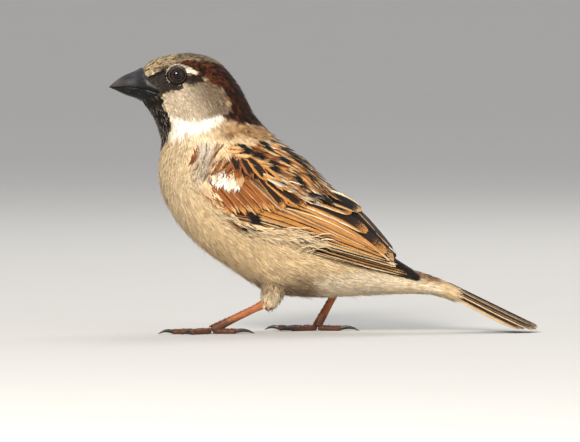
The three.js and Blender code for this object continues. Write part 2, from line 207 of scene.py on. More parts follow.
def sheetPlace(form, along, across):  # the outer face of a folded wing, on the right side
    upper, lower = through(form["upper"], along), through(form["lower"], along)
    point = upper + (lower - upper) * across[..., None]
    point[..., 1] += through(form["full"], along) * 4 * across * (1 - across)
    return point


def sheetHeight(form, x, z):  # y of a folded wing's outer face at a place in the side view, and where on it
    a, b = np.meshgrid(np.linspace(0, 1, 41), np.linspace(0, 1, 11), indexing="ij")
    a, b = a.ravel(), b.ravel()
    known = sheetPlace(form, a, b)
    flatX, flatZ = np.ravel(x), np.ravel(z)
    near = ((known[:, 0] - flatX[:, None]) ** 2 + (known[:, 2] - flatZ[:, None]) ** 2).argmin(1)
    s, t = a[near].copy(), b[near].copy()
    step = 1e-3
    for _ in range(6):
        p = sheetPlace(form, s, t)
        ps = (sheetPlace(form, s + step, t) - p) / step
        pt = (sheetPlace(form, s, t + step) - p) / step
        dx, dz = flatX - p[:, 0], flatZ - p[:, 2]
        whole = ps[:, 0] * pt[:, 2] - pt[:, 0] * ps[:, 2]
        whole = np.where(np.abs(whole) < 1e-3, 1e-3, whole)
        s = np.clip(s + np.clip((dx * pt[:, 2] - dz * pt[:, 0]) / whole, -0.1, 0.1), -0.08, 1.08)
        t = np.clip(t + np.clip((dz * ps[:, 0] - dx * ps[:, 2]) / whole, -0.3, 0.3), -0.25, 1.25)
    shape = np.shape(x)
    return sheetPlace(form, s, t)[:, 1].reshape(shape), s.reshape(shape), t.reshape(shape)


def hold(mesh, name, kind, values):  # keeps values on the mesh's points
    field = dict(FLOAT="value", FLOAT_VECTOR="vector", FLOAT_COLOR="color")[kind]
    if kind == "FLOAT_COLOR":
        values = np.concatenate([values, np.ones((len(values), 1))], 1)
    held = mesh.attributes.new(name, kind, "POINT")
    held.data.foreach_set(field, np.asarray(values, np.float32).ravel())


def meshOf(name, points, quads=(), tris=(), tints=None, vectors=None, uv=None, normals=None):
    quads, tris = np.asarray(quads, int).reshape(-1, 4), np.asarray(tris, int).reshape(-1, 3)
    mesh = bpy.data.meshes.new(name)
    mesh.vertices.add(len(points))
    mesh.vertices.foreach_set("co", (np.asarray(points) * mm).astype(np.float32).ravel())
    loops = np.concatenate([quads.ravel(), tris.ravel()]).astype(np.int32)
    starts = np.concatenate([np.arange(len(quads)) * 4, quads.size + np.arange(len(tris)) * 3])
    mesh.loops.add(len(loops))
    mesh.loops.foreach_set("vertex_index", loops)
    mesh.polygons.add(len(starts))
    mesh.polygons.foreach_set("loop_start", starts.astype(np.int32))
    mesh.update(calc_edges=True)
    mesh.polygons.foreach_set("use_smooth", np.ones(len(starts), bool))
    for key, value in (tints or {}).items():
        hold(mesh, key, "FLOAT_COLOR", value)
    for key, value in (vectors or {}).items():
        hold(mesh, key, "FLOAT_VECTOR", value)
    if uv is not None:
        layer = mesh.uv_layers.new(name="OFBake")
        layer.data.foreach_set("uv", np.asarray(uv, np.float32)[loops].ravel())
    if normals is not None:
        mesh.normals_split_custom_set_from_vertices(np.asarray(normals, float).tolist())
    return placed(name, mesh)


def gridFaces(rows, columns, closed=False):  # quads over a grid of points, joined round if closed
    r, c = np.meshgrid(np.arange(rows - 1), np.arange(columns if closed else columns - 1), indexing="ij")
    near, far, after = r * columns, (r + 1) * columns, (c + 1) % columns
    return np.stack([near + c, far + c, far + after, near + after], -1).reshape(-1, 4)


def closedTube(rings):  # points and faces over rings of points, with a fan over each end
    rows, columns = rings.shape[:2]
    points = np.concatenate([rings.reshape(-1, 3), [rings[0].mean(0), rings[-1].mean(0)]])
    c = np.arange(columns)
    after, last = (c + 1) % columns, (rows - 1) * columns
    start = np.stack([c, after, np.full_like(c, len(points) - 2)], -1)
    end = np.stack([last + after, last + c, np.full_like(c, len(points) - 1)], -1)
    return points, gridFaces(rows, columns, True), np.concatenate([start, end])


def settled(thing):  # the plain mesh that its modifiers make
    bpy.context.view_layer.update()
    graph = bpy.context.evaluated_depsgraph_get()
    mesh = bpy.data.meshes.new_from_object(thing.evaluated_get(graph))
    thing.modifiers.clear()
    return mesh


def finishPiece(thing, material, slotName, *nodes):
    thing.data.materials.append(material)
    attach(thing, "root")
    if nodes:
        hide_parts(*nodes)
    return thing


class Wire:  # a shader socket that can be used in sums
    def __init__(self, paint, socket):
        self.paint, self.socket = paint, socket

    def __add__(self, other):
        return self.paint.maths("ADD", self, other)

    def __sub__(self, other):
        return self.paint.maths("SUBTRACT", self, other)

    def __rsub__(self, other):
        return self.paint.maths("SUBTRACT", other, self)

    def __mul__(self, other):
        return self.paint.maths("MULTIPLY", self, other)

    def __truediv__(self, other):
        return self.paint.maths("DIVIDE", self, other)

    def __pow__(self, other):
        return self.paint.maths("POWER", self, other)

    __radd__ = __add__
    __rmul__ = __mul__


class Paint:  # one material and its nodes
    def __init__(self, name, roughness=0.6, **constant):
        self.material = bpy.data.materials.new(name)
        self.material.use_nodes = True
        self.nodes = self.material.node_tree.nodes
        self.links = self.material.node_tree.links
        self.shader = self.nodes["Principled BSDF"]
        self.set("Roughness", roughness)
        for key, value in constant.items():
            self.set(key.replace("_", " "), value)

    def feed(self, socket, value):
        if isinstance(value, Wire):
            self.links.new(value.socket, socket)
        else:
            socket.default_value = value

    def set(self, name, value):
        self.feed(self.shader.inputs[name], value)

    def node(self, kind, settings=None, values=None, output=0):
        made = self.nodes.new("ShaderNode" + kind)
        for key, value in (settings or {}).items():
            if key == "stops":
                ramp = made.color_ramp.elements
                while len(ramp) < len(value):
                    ramp.new(0.5)
                for stop, (place, colour) in zip(ramp, value):
                    stop.position, stop.color = place, colour
            else:
                setattr(made, key, value)
        for key, value in (values or {}).items():
            self.feed(made.inputs[key], value)
        return Wire(self, made.outputs[output])

    def maths(self, operation, *values):
        return self.node("Math", dict(operation=operation), dict(enumerate(values)))

    def mix(self, share, a, b, mode="MIX"):
        return self.node("Mix", dict(data_type="RGBA", blend_type=mode), {0: share, 6: a, 7: b}, 2)

    def steps(self, value, low, high):  # eases from 0 to 1 as the value goes from low to high
        return self.node("MapRange", dict(interpolation_type="SMOOTHSTEP"), {0: value, 1: low, 2: high})

    def held(self, name, output="Vector"):
        return self.node("Attribute", dict(attribute_name=name), None, output)

    def parts(self, vector):
        split = self.nodes.new("ShaderNodeSeparateXYZ")
        self.feed(split.inputs[0], vector)
        return [Wire(self, s) for s in split.outputs]

    def place(self):
        return self.node("TexCoord", None, None, "Object")

    def noise(self, scale, detail=3.0, vector=None):
        values = {"Vector": vector or self.place(), "Scale": scale, "Detail": detail}
        return self.node("TexNoise", None, values)

    def bump(self, height, strength, depth):
        values = {"Height": height, "Strength": strength, "Distance": depth}
        self.set("Normal", self.node("Bump", None, values))


def tone(red, green, blue):  # from the 0 to 255 scale of a screen to linear light
    c = np.array([red, green, blue]) / 255.0
    return np.where(c <= 0.04045, c / 12.92, ((c + 0.055) / 1.055) ** 2.4)


def rgba(colour):
    return (*[float(c) for c in colour], 1.0)


colours = dict(
    horn=tone(27, 27, 29), hornDark=tone(9, 9, 9), hornPale=tone(120, 104, 88),
    crown=tone(128, 111, 86), forehead=tone(158, 138, 108), black=tone(24, 19, 16), soot=tone(54, 46, 39),
    chestnut=tone(84, 42, 21), chestnutDark=tone(34, 19, 13), white=tone(250, 245, 234),
    cheek=tone(186, 168, 144), cheekGrey=tone(108, 90, 70), cream=tone(238, 221, 190),
    straw=tone(224, 202, 166), buff=tone(212, 183, 140), sand=tone(196, 154, 104),
    gold=tone(190, 132, 70), rust=tone(140, 82, 42),
    umber=tone(40, 28, 21), brown=tone(118, 88, 62), ash=tone(184, 169, 150), smoke=tone(120, 102, 84),
    leg=tone(164, 94, 48), legDark=tone(84, 48, 30),
)


def featherPaint(name, slant=1.2, period=0.36, ragged=0.11, hair=2.6, contrast=0.5, barbed=0.07):
    paint = Paint(name, 0.75, Specular_IOR_Level=0.14, Sheen_Weight=0.03, Sheen_Roughness=0.4)
    along, across, seed = paint.parts(paint.held("vane"))
    rimUp, rimDown, tipStart = paint.parts(paint.held("bands"))
    streakAt, streakHalf, darkFrom = paint.parts(paint.held("streaks"))
    length, half, _ = paint.parts(paint.held("size"))
    frayed = paint.noise(2600.0, 2.0) * (ragged * 2) - ragged
    upward = paint.steps(frayed - across, rimUp - 0.13, rimUp + 0.15)
    downward = paint.steps(across + frayed, rimDown - 0.13, rimDown + 0.15)
    atTip = paint.steps(along + frayed * 0.8, tipStart - 0.07, tipStart + 0.08)
    rim = paint.maths("MAXIMUM", paint.maths("MAXIMUM", upward, downward), atTip)
    offStreak = paint.maths("ABSOLUTE", across - streakAt + frayed)
    streak = 1 - paint.steps(offStreak, streakHalf - 0.1, streakHalf + 0.12)
    colour = paint.mix(rim, paint.held("inner", "Color"), paint.held("rim", "Color"))
    colour = paint.mix(streak, colour, paint.held("streak", "Color"))
    darkTip = paint.steps(along + frayed * 0.5, darkFrom - 0.06, darkFrom + 0.06)
    colour = paint.mix(darkTip, colour, rgba(colours["black"]))
    # barbs run out from the shaft and on towards the tip
    rough = paint.noise(900.0, 2.0)
    own = paint.node("CombineXYZ", None, {0: along * length * 0.2, 1: across * half * hair, 2: seed * 40.0})
    streaky = paint.noise(1.0, 4.0, own)
    phase = along * length - paint.maths("ABSOLUTE", across) * half * slant + seed * 3.0 + rough * 0.25
    if slant > 2:
        phase = across * half + along * 0.6 + seed * 3.0 + rough * 0.2
    barbs = paint.maths("SINE", phase * (2 * math.pi / period))
    shade = barbs * barbed + paint.steps(streaky, 0.3, 0.7) * contrast + (1.0 - contrast * 0.62)
    shade = paint.node("CombineColor", None, {0: shade, 1: shade, 2: shade})
    colour = paint.mix(1.0, colour, shade, "MULTIPLY")
    paint.set("Base Color", colour)
    paint.bump(barbs * 0.5 + rough, 0.35, 0.0001)
    return paint.material


def softVane(columns, rows, split):  # a vane whose outer part is parted into locks of barbs
    u, v, lock, free = [], [], [], []
    for r in range(rows + 1):
        for c in range(columns + 1):
            u.append(split * r / rows)
            v.append(-1 + 2 * c / columns)
            lock.append(min(c, columns - 1))
            free.append(0.0)
    quads = gridFaces(rows + 1, columns + 1).tolist()
    tris = []
    for c in range(columns):
        left = rows * (columns + 1) + c
        centre = -1 + (2 * c + 1) / columns
        first = len(u)
        middle, beside = split + (1 - split) * 0.5, 0.62 / columns
        for place, offset, share in ((middle, -beside, 0.4), (middle, beside, 0.4), (1.0, 0.0, 1.0)):
            u.append(place)
            v.append(centre + offset)
            lock.append(c)
            free.append(share)
        quads.append([left, first, first + 1, left + 1])
        tris.append([first, first + 2, first + 1])
    return dict(u=np.array(u), v=np.array(v), lock=np.array(lock), free=np.array(free), columns=columns,
                quads=np.array(quads), tris=np.array(tris))


def layCoat(name, place, vane, a, b, heading, length, width, depth, pattern, dice, lift=0.0, loose=1.0,
            softness=0.7, spanA=None, over=None, curl=0.0, within=None):
    # every feather walks over the surface from its root, so that it bends with the body
    count, turns = len(a), 6
    path = [(a, b)]
    for k in range(turns):
        _, da, db, normal = lieOf(place, *path[-1])
        forward = unit(da)
        sideways = np.cross(normal, forward)
        bent = heading + curl * k / turns
        way = forward * np.cos(bent)[:, None] + sideways * np.sin(bent)[:, None]
        sa, sb = stepOf(da, db, way * (length / turns)[:, None])
        path.append((path[-1][0] + sa, path[-1][1] + sb))
    pathA, pathB = np.moveaxis(np.array(path), 0, -1)
    u = np.repeat(vane["u"][None], count, 0)
    v = np.repeat(vane["v"][None], count, 0)
    shape = (count, vane["columns"])
    lockLong, lockSide, lockHigh = (dice.normal(0, wild * loose, shape)[:, vane["lock"]]
                                    for wild in (0.07, 0.09, 0.1))
    rounding = 0.3 * np.abs(v) ** 2.2 * vane["free"]
    u = u + vane["free"] * lockLong - rounding
    v = v + vane["free"] * lockSide
    at = np.clip(u, 0, 1.15) * turns
    i = np.clip(at.astype(int), 0, turns - 1)
    f = at - i
    pick = np.arange(count)[:, None]
    va = pathA[pick, i] * (1 - f) + pathA[pick, i + 1] * f
    vb = pathB[pick, i] * (1 - f) + pathB[pick, i + 1] * f
    profile = np.interp(u, [0, 0.15, 0.4, 0.7, 1.0], [0.3, 0.72, 1.0, 0.98, 0.8])
    _, da, db, normal = lieOf(place, va, vb)
    forward = unit(da)
    sideways = np.cross(normal, forward)
    turned = (heading[:, None] + np.reshape(curl, (-1, 1)) * u)[..., None]
    across = -forward * np.sin(turned) + sideways * np.cos(turned)
    sa, sb = stepOf(da, db, across * (width[:, None] * profile * v)[..., None])
    va, vb = va + sa, vb + sb
    point, _, _, normal = lieOf(place, va, vb)
    height = -depth[:, None] * (1 - np.clip(u, 0, 1)) ** 1.15 + np.reshape(lift, (-1, 1)) * u ** 2
    height = height - 0.12 * width[:, None] * v * v + vane["free"] * lockHigh * width[:, None] * 0.5
    points = point + normal * height[..., None]
    if over is not None:
        points = over(points, u)
    reach = np.linalg.norm(points - points[:, :1], axis=-1).max(1)
    sane = reach < 1.4 * length + 2 * width + 2  # leaves out feathers the surface has stretched
    if within:  # or that would leave it
        lowestA, highestA, lowestB, highestB = within
        sane = sane & (pathA.min(1) > lowestA) & (pathA.max(1) < highestA)
        sane = sane & (vb.min(1) > lowestB) & (vb.max(1) < highestB) & (va.min(1) > lowestA)
    points, normal, u, v = points[sane], normal[sane], u[sane], v[sane]
    flat = points.reshape(-1, 3)
    step = len(vane["u"])
    shift = (np.arange(len(points)) * step)[:, None, None]
    quads = (vane["quads"][None] + shift).reshape(-1, 4)
    tris = (vane["tris"][None] + shift).reshape(-1, 3)
    # the feather's middle tells its markings
    marked = pattern(place(pathA[:, 4], pathB[:, 4]), dice)
    spread = lambda value: np.repeat(value[sane], step, 0)
    seed = dice.uniform(0, 1, count)
    tint = 1 + dice.normal(0, 0.07, (count, 1))
    vectors = dict(
        vane=np.stack([u.ravel(), v.ravel(), spread(seed)], -1),
        bands=spread(marked["bands"]),
        streaks=spread(np.concatenate([marked["streaks"], np.full((count, 1), 3.0)], 1)),
        size=spread(np.stack([length, width, seed], -1)),
    )
    tints = {key: spread(np.clip(marked[key] * tint, 0, 1)) for key in ("inner", "rim", "streak")}
    lowA, highA = spanA or (a.min(), a.max())
    root = np.stack([(a - lowA) / (highA - lowA), (np.mod(b + math.pi, 2 * math.pi)) / (2 * math.pi)], -1)
    patch = 0.003
    uv = 0.02 + 0.955 * spread(root) + patch * np.stack([u.ravel(), v.ravel() / 2 + 0.5], -1)
    faceNormals = vertexNormals(flat, quads, tris)
    normals = unit(normal.reshape(-1, 3) * softness + faceNormals * (1 - softness))
    return meshOf(name, flat, quads, tris, tints, vectors, uv, normals)


def vertexNormals(points, quads, tris):
    total = np.zeros_like(points)
    for faces in (quads[:, [0, 1, 2]], quads[:, [0, 2, 3]], tris):
        corner = points[faces]
        n = np.cross(corner[:, 1] - corner[:, 0], corner[:, 2] - corner[:, 0])
        for k in range(3):
            np.add.at(total, faces[:, k], n)
    return unit(total)


def scatter(place, spanA, spanB, gap, dice, keep=None, tries=14):  # even roots, none nearer than gap
    gridA, gridB = np.meshgrid(np.linspace(*spanA, 60), np.linspace(*spanB, 60), indexing="ij")
    _, da, db, _ = lieOf(place, gridA, gridB)
    area = np.linalg.norm(np.cross(da, db), axis=-1)
    whole = area.mean() * (spanA[1] - spanA[0]) * (spanB[1] - spanB[0])
    count = int(whole / gap ** 2 * tries)
    a, b = dice.uniform(*spanA, count), dice.uniform(*spanB, count)
    _, da, db, _ = lieOf(place, a, b)
    chance = np.linalg.norm(np.cross(da, db), axis=-1) / area.max()
    chosen = dice.uniform(0, 1, count) < chance * max(1.0, area.max() / area.mean() / 2)
    a, b = a[chosen], b[chosen]
    points = place(a, b)
    if keep is not None:
        kept = keep(a, b, points)
        a, b, points = a[kept], b[kept], points[kept]
    cell = np.floor(points / gap).astype(int)
    taken, picked = {}, []
    neighbours = [(i, j, k) for i in (-1, 0, 1) for j in (-1, 0, 1) for k in (-1, 0, 1)]
    for n, (key, p) in enumerate(zip(map(tuple, cell), points.tolist())):
        free = True
        for i, j, k in neighbours:
            for q in taken.get((key[0] + i, key[1] + j, key[2] + k), ()):
                if (p[0] - q[0]) ** 2 + (p[1] - q[1]) ** 2 + (p[2] - q[2]) ** 2 < gap * gap:
                    free = False
                    break
            if not free:
                break
        if free:
            taken.setdefault(key, []).append(p)
            picked.append(n)
    return a[picked], b[picked]


# Outlines in the side view, in millimetres, as x and z. Neighbours share the line between them.
foreheadLine = [(-58.0, 84.0), (-55.2, 80.8), (-51.8, 81.7), (-48.7, 83.3), (-46.2, 84.8)]
crownLine = [(-46.2, 84.8), (-41.8, 85.6), (-37.1, 85.5), (-33.7, 84.8), (-31.2, 83.9)]
cheekRear = [(-35.5, 78.0), (-31.8, 76.4), (-30.5, 74.2), (-29.3, 71.4), (-29.6, 69.5)]
cheekFoot = [(-29.6, 69.5), (-34.0, 67.3), (-40.2, 66.4), (-46.5, 67.0), (-49.3, 70.2), (-50.2, 72.7)]
napeLine = [
    (-26.0, 86.0), (-19.0, 72.0), (-14.0, 65.0), (-21.2, 65.0), (-27.0, 65.8), (-29.6, 66.7), (-31.8, 68.3),
]
marks = dict(
    forehead=foreheadLine + [(-46.0, 90.0), (-54.0, 90.0)],
    crown=foreheadLine + crownLine[1:] + [(-30.0, 90.0), (-58.0, 90.0)],
    chestnut=[(-48.0, 83.3)] + crownLine + napeLine + cheekRear[::-1] + [
        (-37.7, 78.3), (-36.2, 79.5), (-39.6, 80.8), (-42.8, 83.3), (-45.5, 84.2),
    ],
    lore=[
        (-55.9, 81.6), (-54.9, 80.3), (-51.8, 81.4), (-48.7, 83.0), (-45.5, 84.1), (-42.8, 83.3),
        (-41.6, 82.0), (-42.4, 80.2), (-37.1, 78.9), (-38.6, 78.3), (-41.8, 77.0), (-45.5, 75.6),
        (-49.3, 74.8), (-51.2, 73.4), (-54.3, 72.2), (-57.8, 72.5), (-54.3, 73.3), (-51.8, 75.2),
    ],
    eyeStripe=[(-42.7, 81.1), (-39.6, 80.8), (-36.2, 79.5), (-37.7, 78.3), (-41.8, 78.9)],
    cheek=[(-49.3, 74.8), (-45.5, 75.8), (-41.8, 77.0), (-39.9, 78.3)] + cheekRear + cheekFoot[1:],
    bib=[
        (-58.5, 72.8), (-54.3, 72.2), (-51.2, 73.8), (-49.3, 72.9), (-50.2, 71.4), (-48.7, 68.9),
        (-47.7, 65.8), (-48.0, 62.3), (-49.3, 59.5), (-51.0, 57.4), (-54.0, 60.0), (-55.0, 66.0),
        (-60.0, 71.0),
    ],
    collar=cheekFoot[::-1] + [
        (-31.2, 67.6), (-31.8, 67.0), (-37.1, 63.3), (-44.9, 60.8), (-48.7, 60.2), (-48.0, 62.3),
        (-47.5, 65.8), (-48.7, 68.9),
    ],
    neckSide=[
        (-31.8, 67.3), (-29.6, 66.7), (-23.0, 65.2), (-14.0, 65.0), (-16.0, 61.0), (-20.0, 60.5),
        (-26.0, 61.4), (-31.0, 60.8), (-37.0, 58.8), (-42.0, 58.5), (-44.9, 60.8), (-37.1, 63.3),
    ],
    bar=[
        (-35.2, 50.2), (-32.4, 52.8), (-29.0, 52.0), (-25.8, 48.8), (-26.4, 47.2), (-30.0, 47.8),
        (-33.4, 48.8),
    ],
    rump=[
        (2.0, 50.0), (14.0, 38.0), (30.0, 24.0), (38.0, 20.0), (36.0, 15.5), (26.0, 17.5), (16.0, 24.0),
        (4.0, 36.0),
    ],
    vent=[(-4.0, 17.0), (10.0, 19.5), (20.0, 19.0), (36.0, 15.0), (34.0, 8.0), (0.0, 8.0)],
)


def plain(count, inner, rim, rimStart, tipStart):  # markings all alike, a rim round each feather
    full = lambda c: np.repeat(np.asarray(c, float)[None], count, 0)
    return dict(inner=full(inner), rim=full(rim), streak=full(inner),
                bands=full([rimStart, rimStart, tipStart]), streaks=full([0.0, -1.0]))


def lay(marked, share, inner=None, rim=None, **change):  # new colours over the old where share is near 1
    for key, value in dict(change, inner=inner, rim=rim).items():
        if value is not None:
            value = colours[value] if isinstance(value, str) else np.asarray(value, float)
            marked[key] = blend(marked[key], value, share[:, None])


def plumage(p, dice):
    x, y, z = p.T
    ripple = waves(p, 5.0, 3) * 0.5 + waves(p, 1.7, 4) * 0.35
    c = colours
    some = lambda share: dice.uniform(0, 1, len(x)) < share
    inside = lambda name, soft: ease(-soft, soft, insideOf(marks[name], x, z) + ripple * soft)
    m = plain(len(x), c["buff"], c["straw"] * 1.08, 0.8, 0.9)
    # breast cream in front, flanks buff, the belly behind the legs darkened with painted shade
    front = ease(-32.0, -46.0, x + 0.3 * (40 - z)) * ease(18.0, 30.0, z)
    lay(m, front, c["buff"] * 0.5 + c["straw"] * 0.4, "straw")
    # painted shade on the underside behind the legs, where it lies under the body
    bellyShade = ease(21.0, 13.0, z + ripple * 2) * ease(-30.0, -18.0, x) * ease(14.0, 4.0, x)
    lay(m, bellyShade * 0.85, "smoke", "sand")
    lay(m, inside("vent", 2.0), "straw", "white")
    lay(m, inside("rump", 1.5), "brown", "sand")
    neck = inside("neckSide", 1.2)
    lay(m, neck, "straw", "cream")
    lay(m, neck * ease(-38.0, -27.0, x), c["brown"] * 0.4 + c["sand"] * 0.6, "sand")
    lay(m, inside("neckSide", 1.0) * some(0.34) * ease(-34.0, -27.0, x), "brown", "rust")
    lay(m, inside("collar", 0.9), "cream", "white")
    lay(m, inside("collar", 0.6) * ease(-49.0, -45.0, x), "white", "white")
    cheek = inside("cheek", 0.4)
    lay(m, cheek, "cheek", "straw")
    rear = cheek * ease(-44.0, -33.0, x + 0.5 * (z - 72)) * ease(65.5, 69.0, z)
    lay(m, rear, "cheekGrey", c["cheekGrey"] * 0.5 + c["cheek"] * 0.5)
    chestnut = inside("chestnut", 0.5)
    nape = chestnut * ease(-33.0, -25.0, x + 0.3 * (z - 75))
    lay(m, chestnut, "chestnut", "chestnut")
    lay(m, chestnut * some(0.25), None, "rust")
    lay(m, nape * 0.6, "chestnutDark", "chestnutDark")
    lay(m, chestnut * some(0.4 + 0.2 * nape), "chestnutDark", "chestnutDark")
    crown = inside("crown", 0.4)
    lay(m, crown, "crown", "crown")
    lay(m, inside("forehead", 0.8), "forehead", "buff")
    lay(m, crown * some(0.3) * 0.8, "soot", "smoke")
    lore = inside("lore", 0.35)
    lay(m, lore, "soot", "black")
    # black from the bill to the eye, round the eye and at the gape
    toEye = ease(1.3, 0.6, np.abs(z - (80.5 + (x + 54) * 0.38))) * ease(-45.0, -48.0, x)
    aroundEye = ease(3.9, 3.1, np.hypot(x - eye["x"], z - eye["z"]))
    gape = ease(-52.5, -54.5, x + 0.4 * (z - 74))
    lay(m, lore * np.maximum.reduce([toEye, aroundEye, gape]), "black", "black")
    lay(m, inside("eyeStripe", 0.4), "chestnutDark", "soot")
    # a pale spot behind the eye and a thin brow over it
    spot = ease(1.15, 0.7, np.hypot((x + 41.0) / 1.9, (z - 82.0 + (x + 41.2) * 0.42) / 0.62))
    lay(m, spot, "cream", "white")
    brow = ease(0.5, 0.25, np.abs(np.hypot(x - eye["x"], (z - eye["z"]) * 1.05) - 3.35))
    lay(m, brow * ease(82.2, 82.8, z) * ease(-41.0, -42.0, x), "buff", "cream")
    bib = inside("bib", 0.3)
    lay(m, bib, "black", "black")
    lay(m, bib * ease(73.0, 68.0, z) * some(0.4), None, "ash", bands=[0.7, 0.7, 0.86])
    return m


print("skin")
skin = dict(rows=150, columns=72, start=2.7, eyeDent=1.0)
eye = dict(
    x=-45.5, y=5.7, z=80.5, radius=3.3, bulge=0.12, pupil=1.35, iris=2.0, opening=(2.36, 2.18), lid=0.24,
)
legs = dict(
    left=dict(
        side=-1, thigh=[(-15.0, 6.8, 17.0), (-16.2, 8.0, 12.0), (-17.6, 8.8, 7.2)], half=[4.9, 3.7, 1.7],
        ankle=(-18.3, 8.8, 9.3), foot=(-34.9, 10.6, 1.25), turn=6,
    ),
    right=dict(
        side=1, thigh=[(9.6, 6.0, 21.4), (8.4, 7.8, 19.0), (6.7, 9.4, 16.2)], half=[3.8, 3.2, 2.0],
        ankle=(7.3, 9.4, 18.3), foot=(-2.1, 10.2, 1.25), turn=10,
    ),
    fore=[1.5, 1.12, 1.1, 1.12, 1.3, 1.35],
    wide=[1.2, 0.82, 0.78, 0.82, 1.05, 1.3],
    coat=0.7,
)
toes = dict(
    hind=dict(yaw=176, length=7.6, claw=6.2, girth=0.85, scales=7),
    inner=dict(yaw=-30, length=8.4, claw=4.2, girth=0.74, scales=8),
    middle=dict(yaw=4, length=12.4, claw=4.8, girth=0.8, scales=12),
    outer=dict(yaw=37, length=8.8, claw=4.0, girth=0.72, scales=8),
)
toeForm = dict(pads=[1.12, 1.0, 1.2, 0.92, 1.18, 0.9, 1.08, 0.9], lie=0.86)


def limb(path, wide, fore, reference):  # the surface round a path; a runs along it and b round it
    path, reference = np.asarray(path, float), np.asarray(reference, float)

    def place(a, b):
        on = np.clip(a, 0.0, 1.0)  # past its ends the limb runs straight on
        after, before = np.minimum(on + 0.01, 1.0), np.maximum(on - 0.01, 0.0)
        pace = (through(path, after) - through(path, before)) / (after - before)[..., None]
        centre = through(path, on) + pace * (a - on)[..., None]
        tangent = unit(pace)
        across = unit(reference - tangent * (tangent @ reference)[..., None])
        other = np.cross(tangent, across)
        spin = b + 0 * a
        w = (through(wide, on) * np.cos(spin))[..., None]
        d = (through(fore, on) * np.sin(spin))[..., None]
        return centre + across * w - other * d

    return place


def tubeOf(place, rows, columns, ends=0.0, inset=0.0):  # a closed tube over a limb, its ends rounded
    a, b = np.meshgrid(np.linspace(0, 1, rows), fullTurn(columns), indexing="ij")
    points = place(a, b)
    middle = points.mean(1, keepdims=True)
    spread = points - middle
    size = np.linalg.norm(spread, axis=-1, keepdims=True)
    ending = np.clip((np.abs(2 * a - 1) - 1 + ends) / max(ends, 1e-6), 0, 1)[..., None] ** 3
    rounding = 1 - ending * (0.6 if ends else 0)
    return closedTube(middle + spread * (1 - inset / np.maximum(size, inset + 0.05)) * rounding)


def tarsusPlace(leg):
    flip = np.array([1, leg["side"], 1])
    path = np.array([leg["ankle"], leg["foot"]]) * flip
    path = np.array([path[0] + (path[1] - path[0]) * s for s in np.linspace(0, 1, 4)])
    return limb(path, legs["wide"], legs["fore"], (0, 1, 0)), path


def toeWay(leg, toe):
    yaw = math.radians(toe["yaw"] + leg["turn"])
    return np.array([-math.cos(yaw), leg["side"] * math.sin(yaw), 0.0])


def toePath(leg, toe):
    way = toeWay(leg, toe)
    start = np.array([leg["foot"][0], leg["side"] * leg["foot"][1], 0.0])
    low = toe["girth"] * toeForm["lie"]
    up = np.array([0, 0, 1.0])
    return np.array([start + way * 0.4 + up * (low + 0.25), start + way * toe["length"] * 0.5 + up * low,
                     start + way * toe["length"] + up * low])


def clawPath(leg, toe):
    way = toeWay(leg, toe)
    start = np.array([leg["foot"][0], leg["side"] * leg["foot"][1], 0.0])
    low = toe["girth"] * toeForm["lie"]
    shape = ((-0.12, low), (0.2, low + 0.34), (0.45, low + 0.36), (0.7, low + 0.1), (1.0, 0.14))
    run = toe["claw"] * 0.93
    return np.array([start + way * (toe["length"] + run * s) + np.array([0, 0, h]) for s, h in shape])


def toePlace(leg, toe):
    way = toeWay(leg, toe)
    pads = np.array(toeForm["pads"]) * toe["girth"]
    return limb(toePath(leg, toe), pads, pads, (-way[1], way[0], 0))


def bodyTube():
    numbers = np.linspace(skin["start"], bodyEnd, skin["rows"])
    number, angle = np.meshgrid(numbers, fullTurn(skin["columns"]), indexing="ij")
    point, _, _, normal = lieOf(bodyPlace, number, angle)
    depth = through(body["coat"], number / bodyLast)
    off = np.hypot(point[..., 0] - eye["x"], point[..., 2] - eye["z"])
    depth = depth + skin["eyeDent"] * ease(4.5, 2.2, off)
    return closedTube(point - normal * depth[..., None])


def nearPath(points, path):  # distance from points to a path of a few points
    best = np.full(len(points), 1e9)
    for p, q in zip(path[:-1], path[1:]):
        run = q - p
        f = np.clip(((points - p) @ run) / (run @ run), 0, 1)
        best = np.minimum(best, np.linalg.norm(points - (p + f[:, None] * run), axis=1))
    return best


def makeSkin():
    parts = [bodyTube()]
    bare = []
    for leg in (legs["left"], legs["right"]):
        flip = np.array([1, leg["side"], 1])
        thigh = limb(np.array(leg["thigh"]) * flip, leg["half"], leg["half"], (0, 1, 0))
        parts.append(tubeOf(thigh, 20, 28, 0.3, legs["coat"]))
        shank, path = tarsusPlace(leg)
        parts.append(tubeOf(shank, 30, 20, 0.12))
        bare.append(path)
        for toe in toes.values():
            points, quads, tris = tubeOf(toePlace(leg, toe), 24, 14, 0.16)
            points[:, 2] = np.maximum(points[:, 2], 0.0)
            parts.append((points, quads, tris))
            bare.append(toePath(leg, toe))
    pieces = [meshOf("part%d" % k, *part) for k, part in enumerate(parts)]
    whole = pieces[0]
    for other in pieces[1:]:
        joint = whole.modifiers.new("join", "BOOLEAN")
        joint.operation, joint.solver, joint.object = "UNION", "EXACT", other
    mesh = settled(whole)
    for piece in pieces:
        bpy.data.objects.remove(piece)
    mesh.name = "skin"
    mesh.materials.clear()
    points = np.empty(len(mesh.vertices) * 3, np.float32)
    mesh.vertices.foreach_get("co", points)
    points = points.reshape(-1, 3) / mm
    look = plumage(points, np.random.default_rng(5))["inner"] * 0.75
    apart = np.min([nearPath(points, path) for path in bare], axis=0)
    scaly = ease(2.4, 1.7, apart) * ease(19.0, 17.0, points[:, 2])
    hold(mesh, "inner", "FLOAT_COLOR", look)
    hold(mesh, "bare", "FLOAT", scaly)
    mesh.polygons.foreach_set("use_smooth", np.ones(len(mesh.polygons), bool))
    print("   skin faces", len(mesh.polygons))
    return placed("skin", mesh)


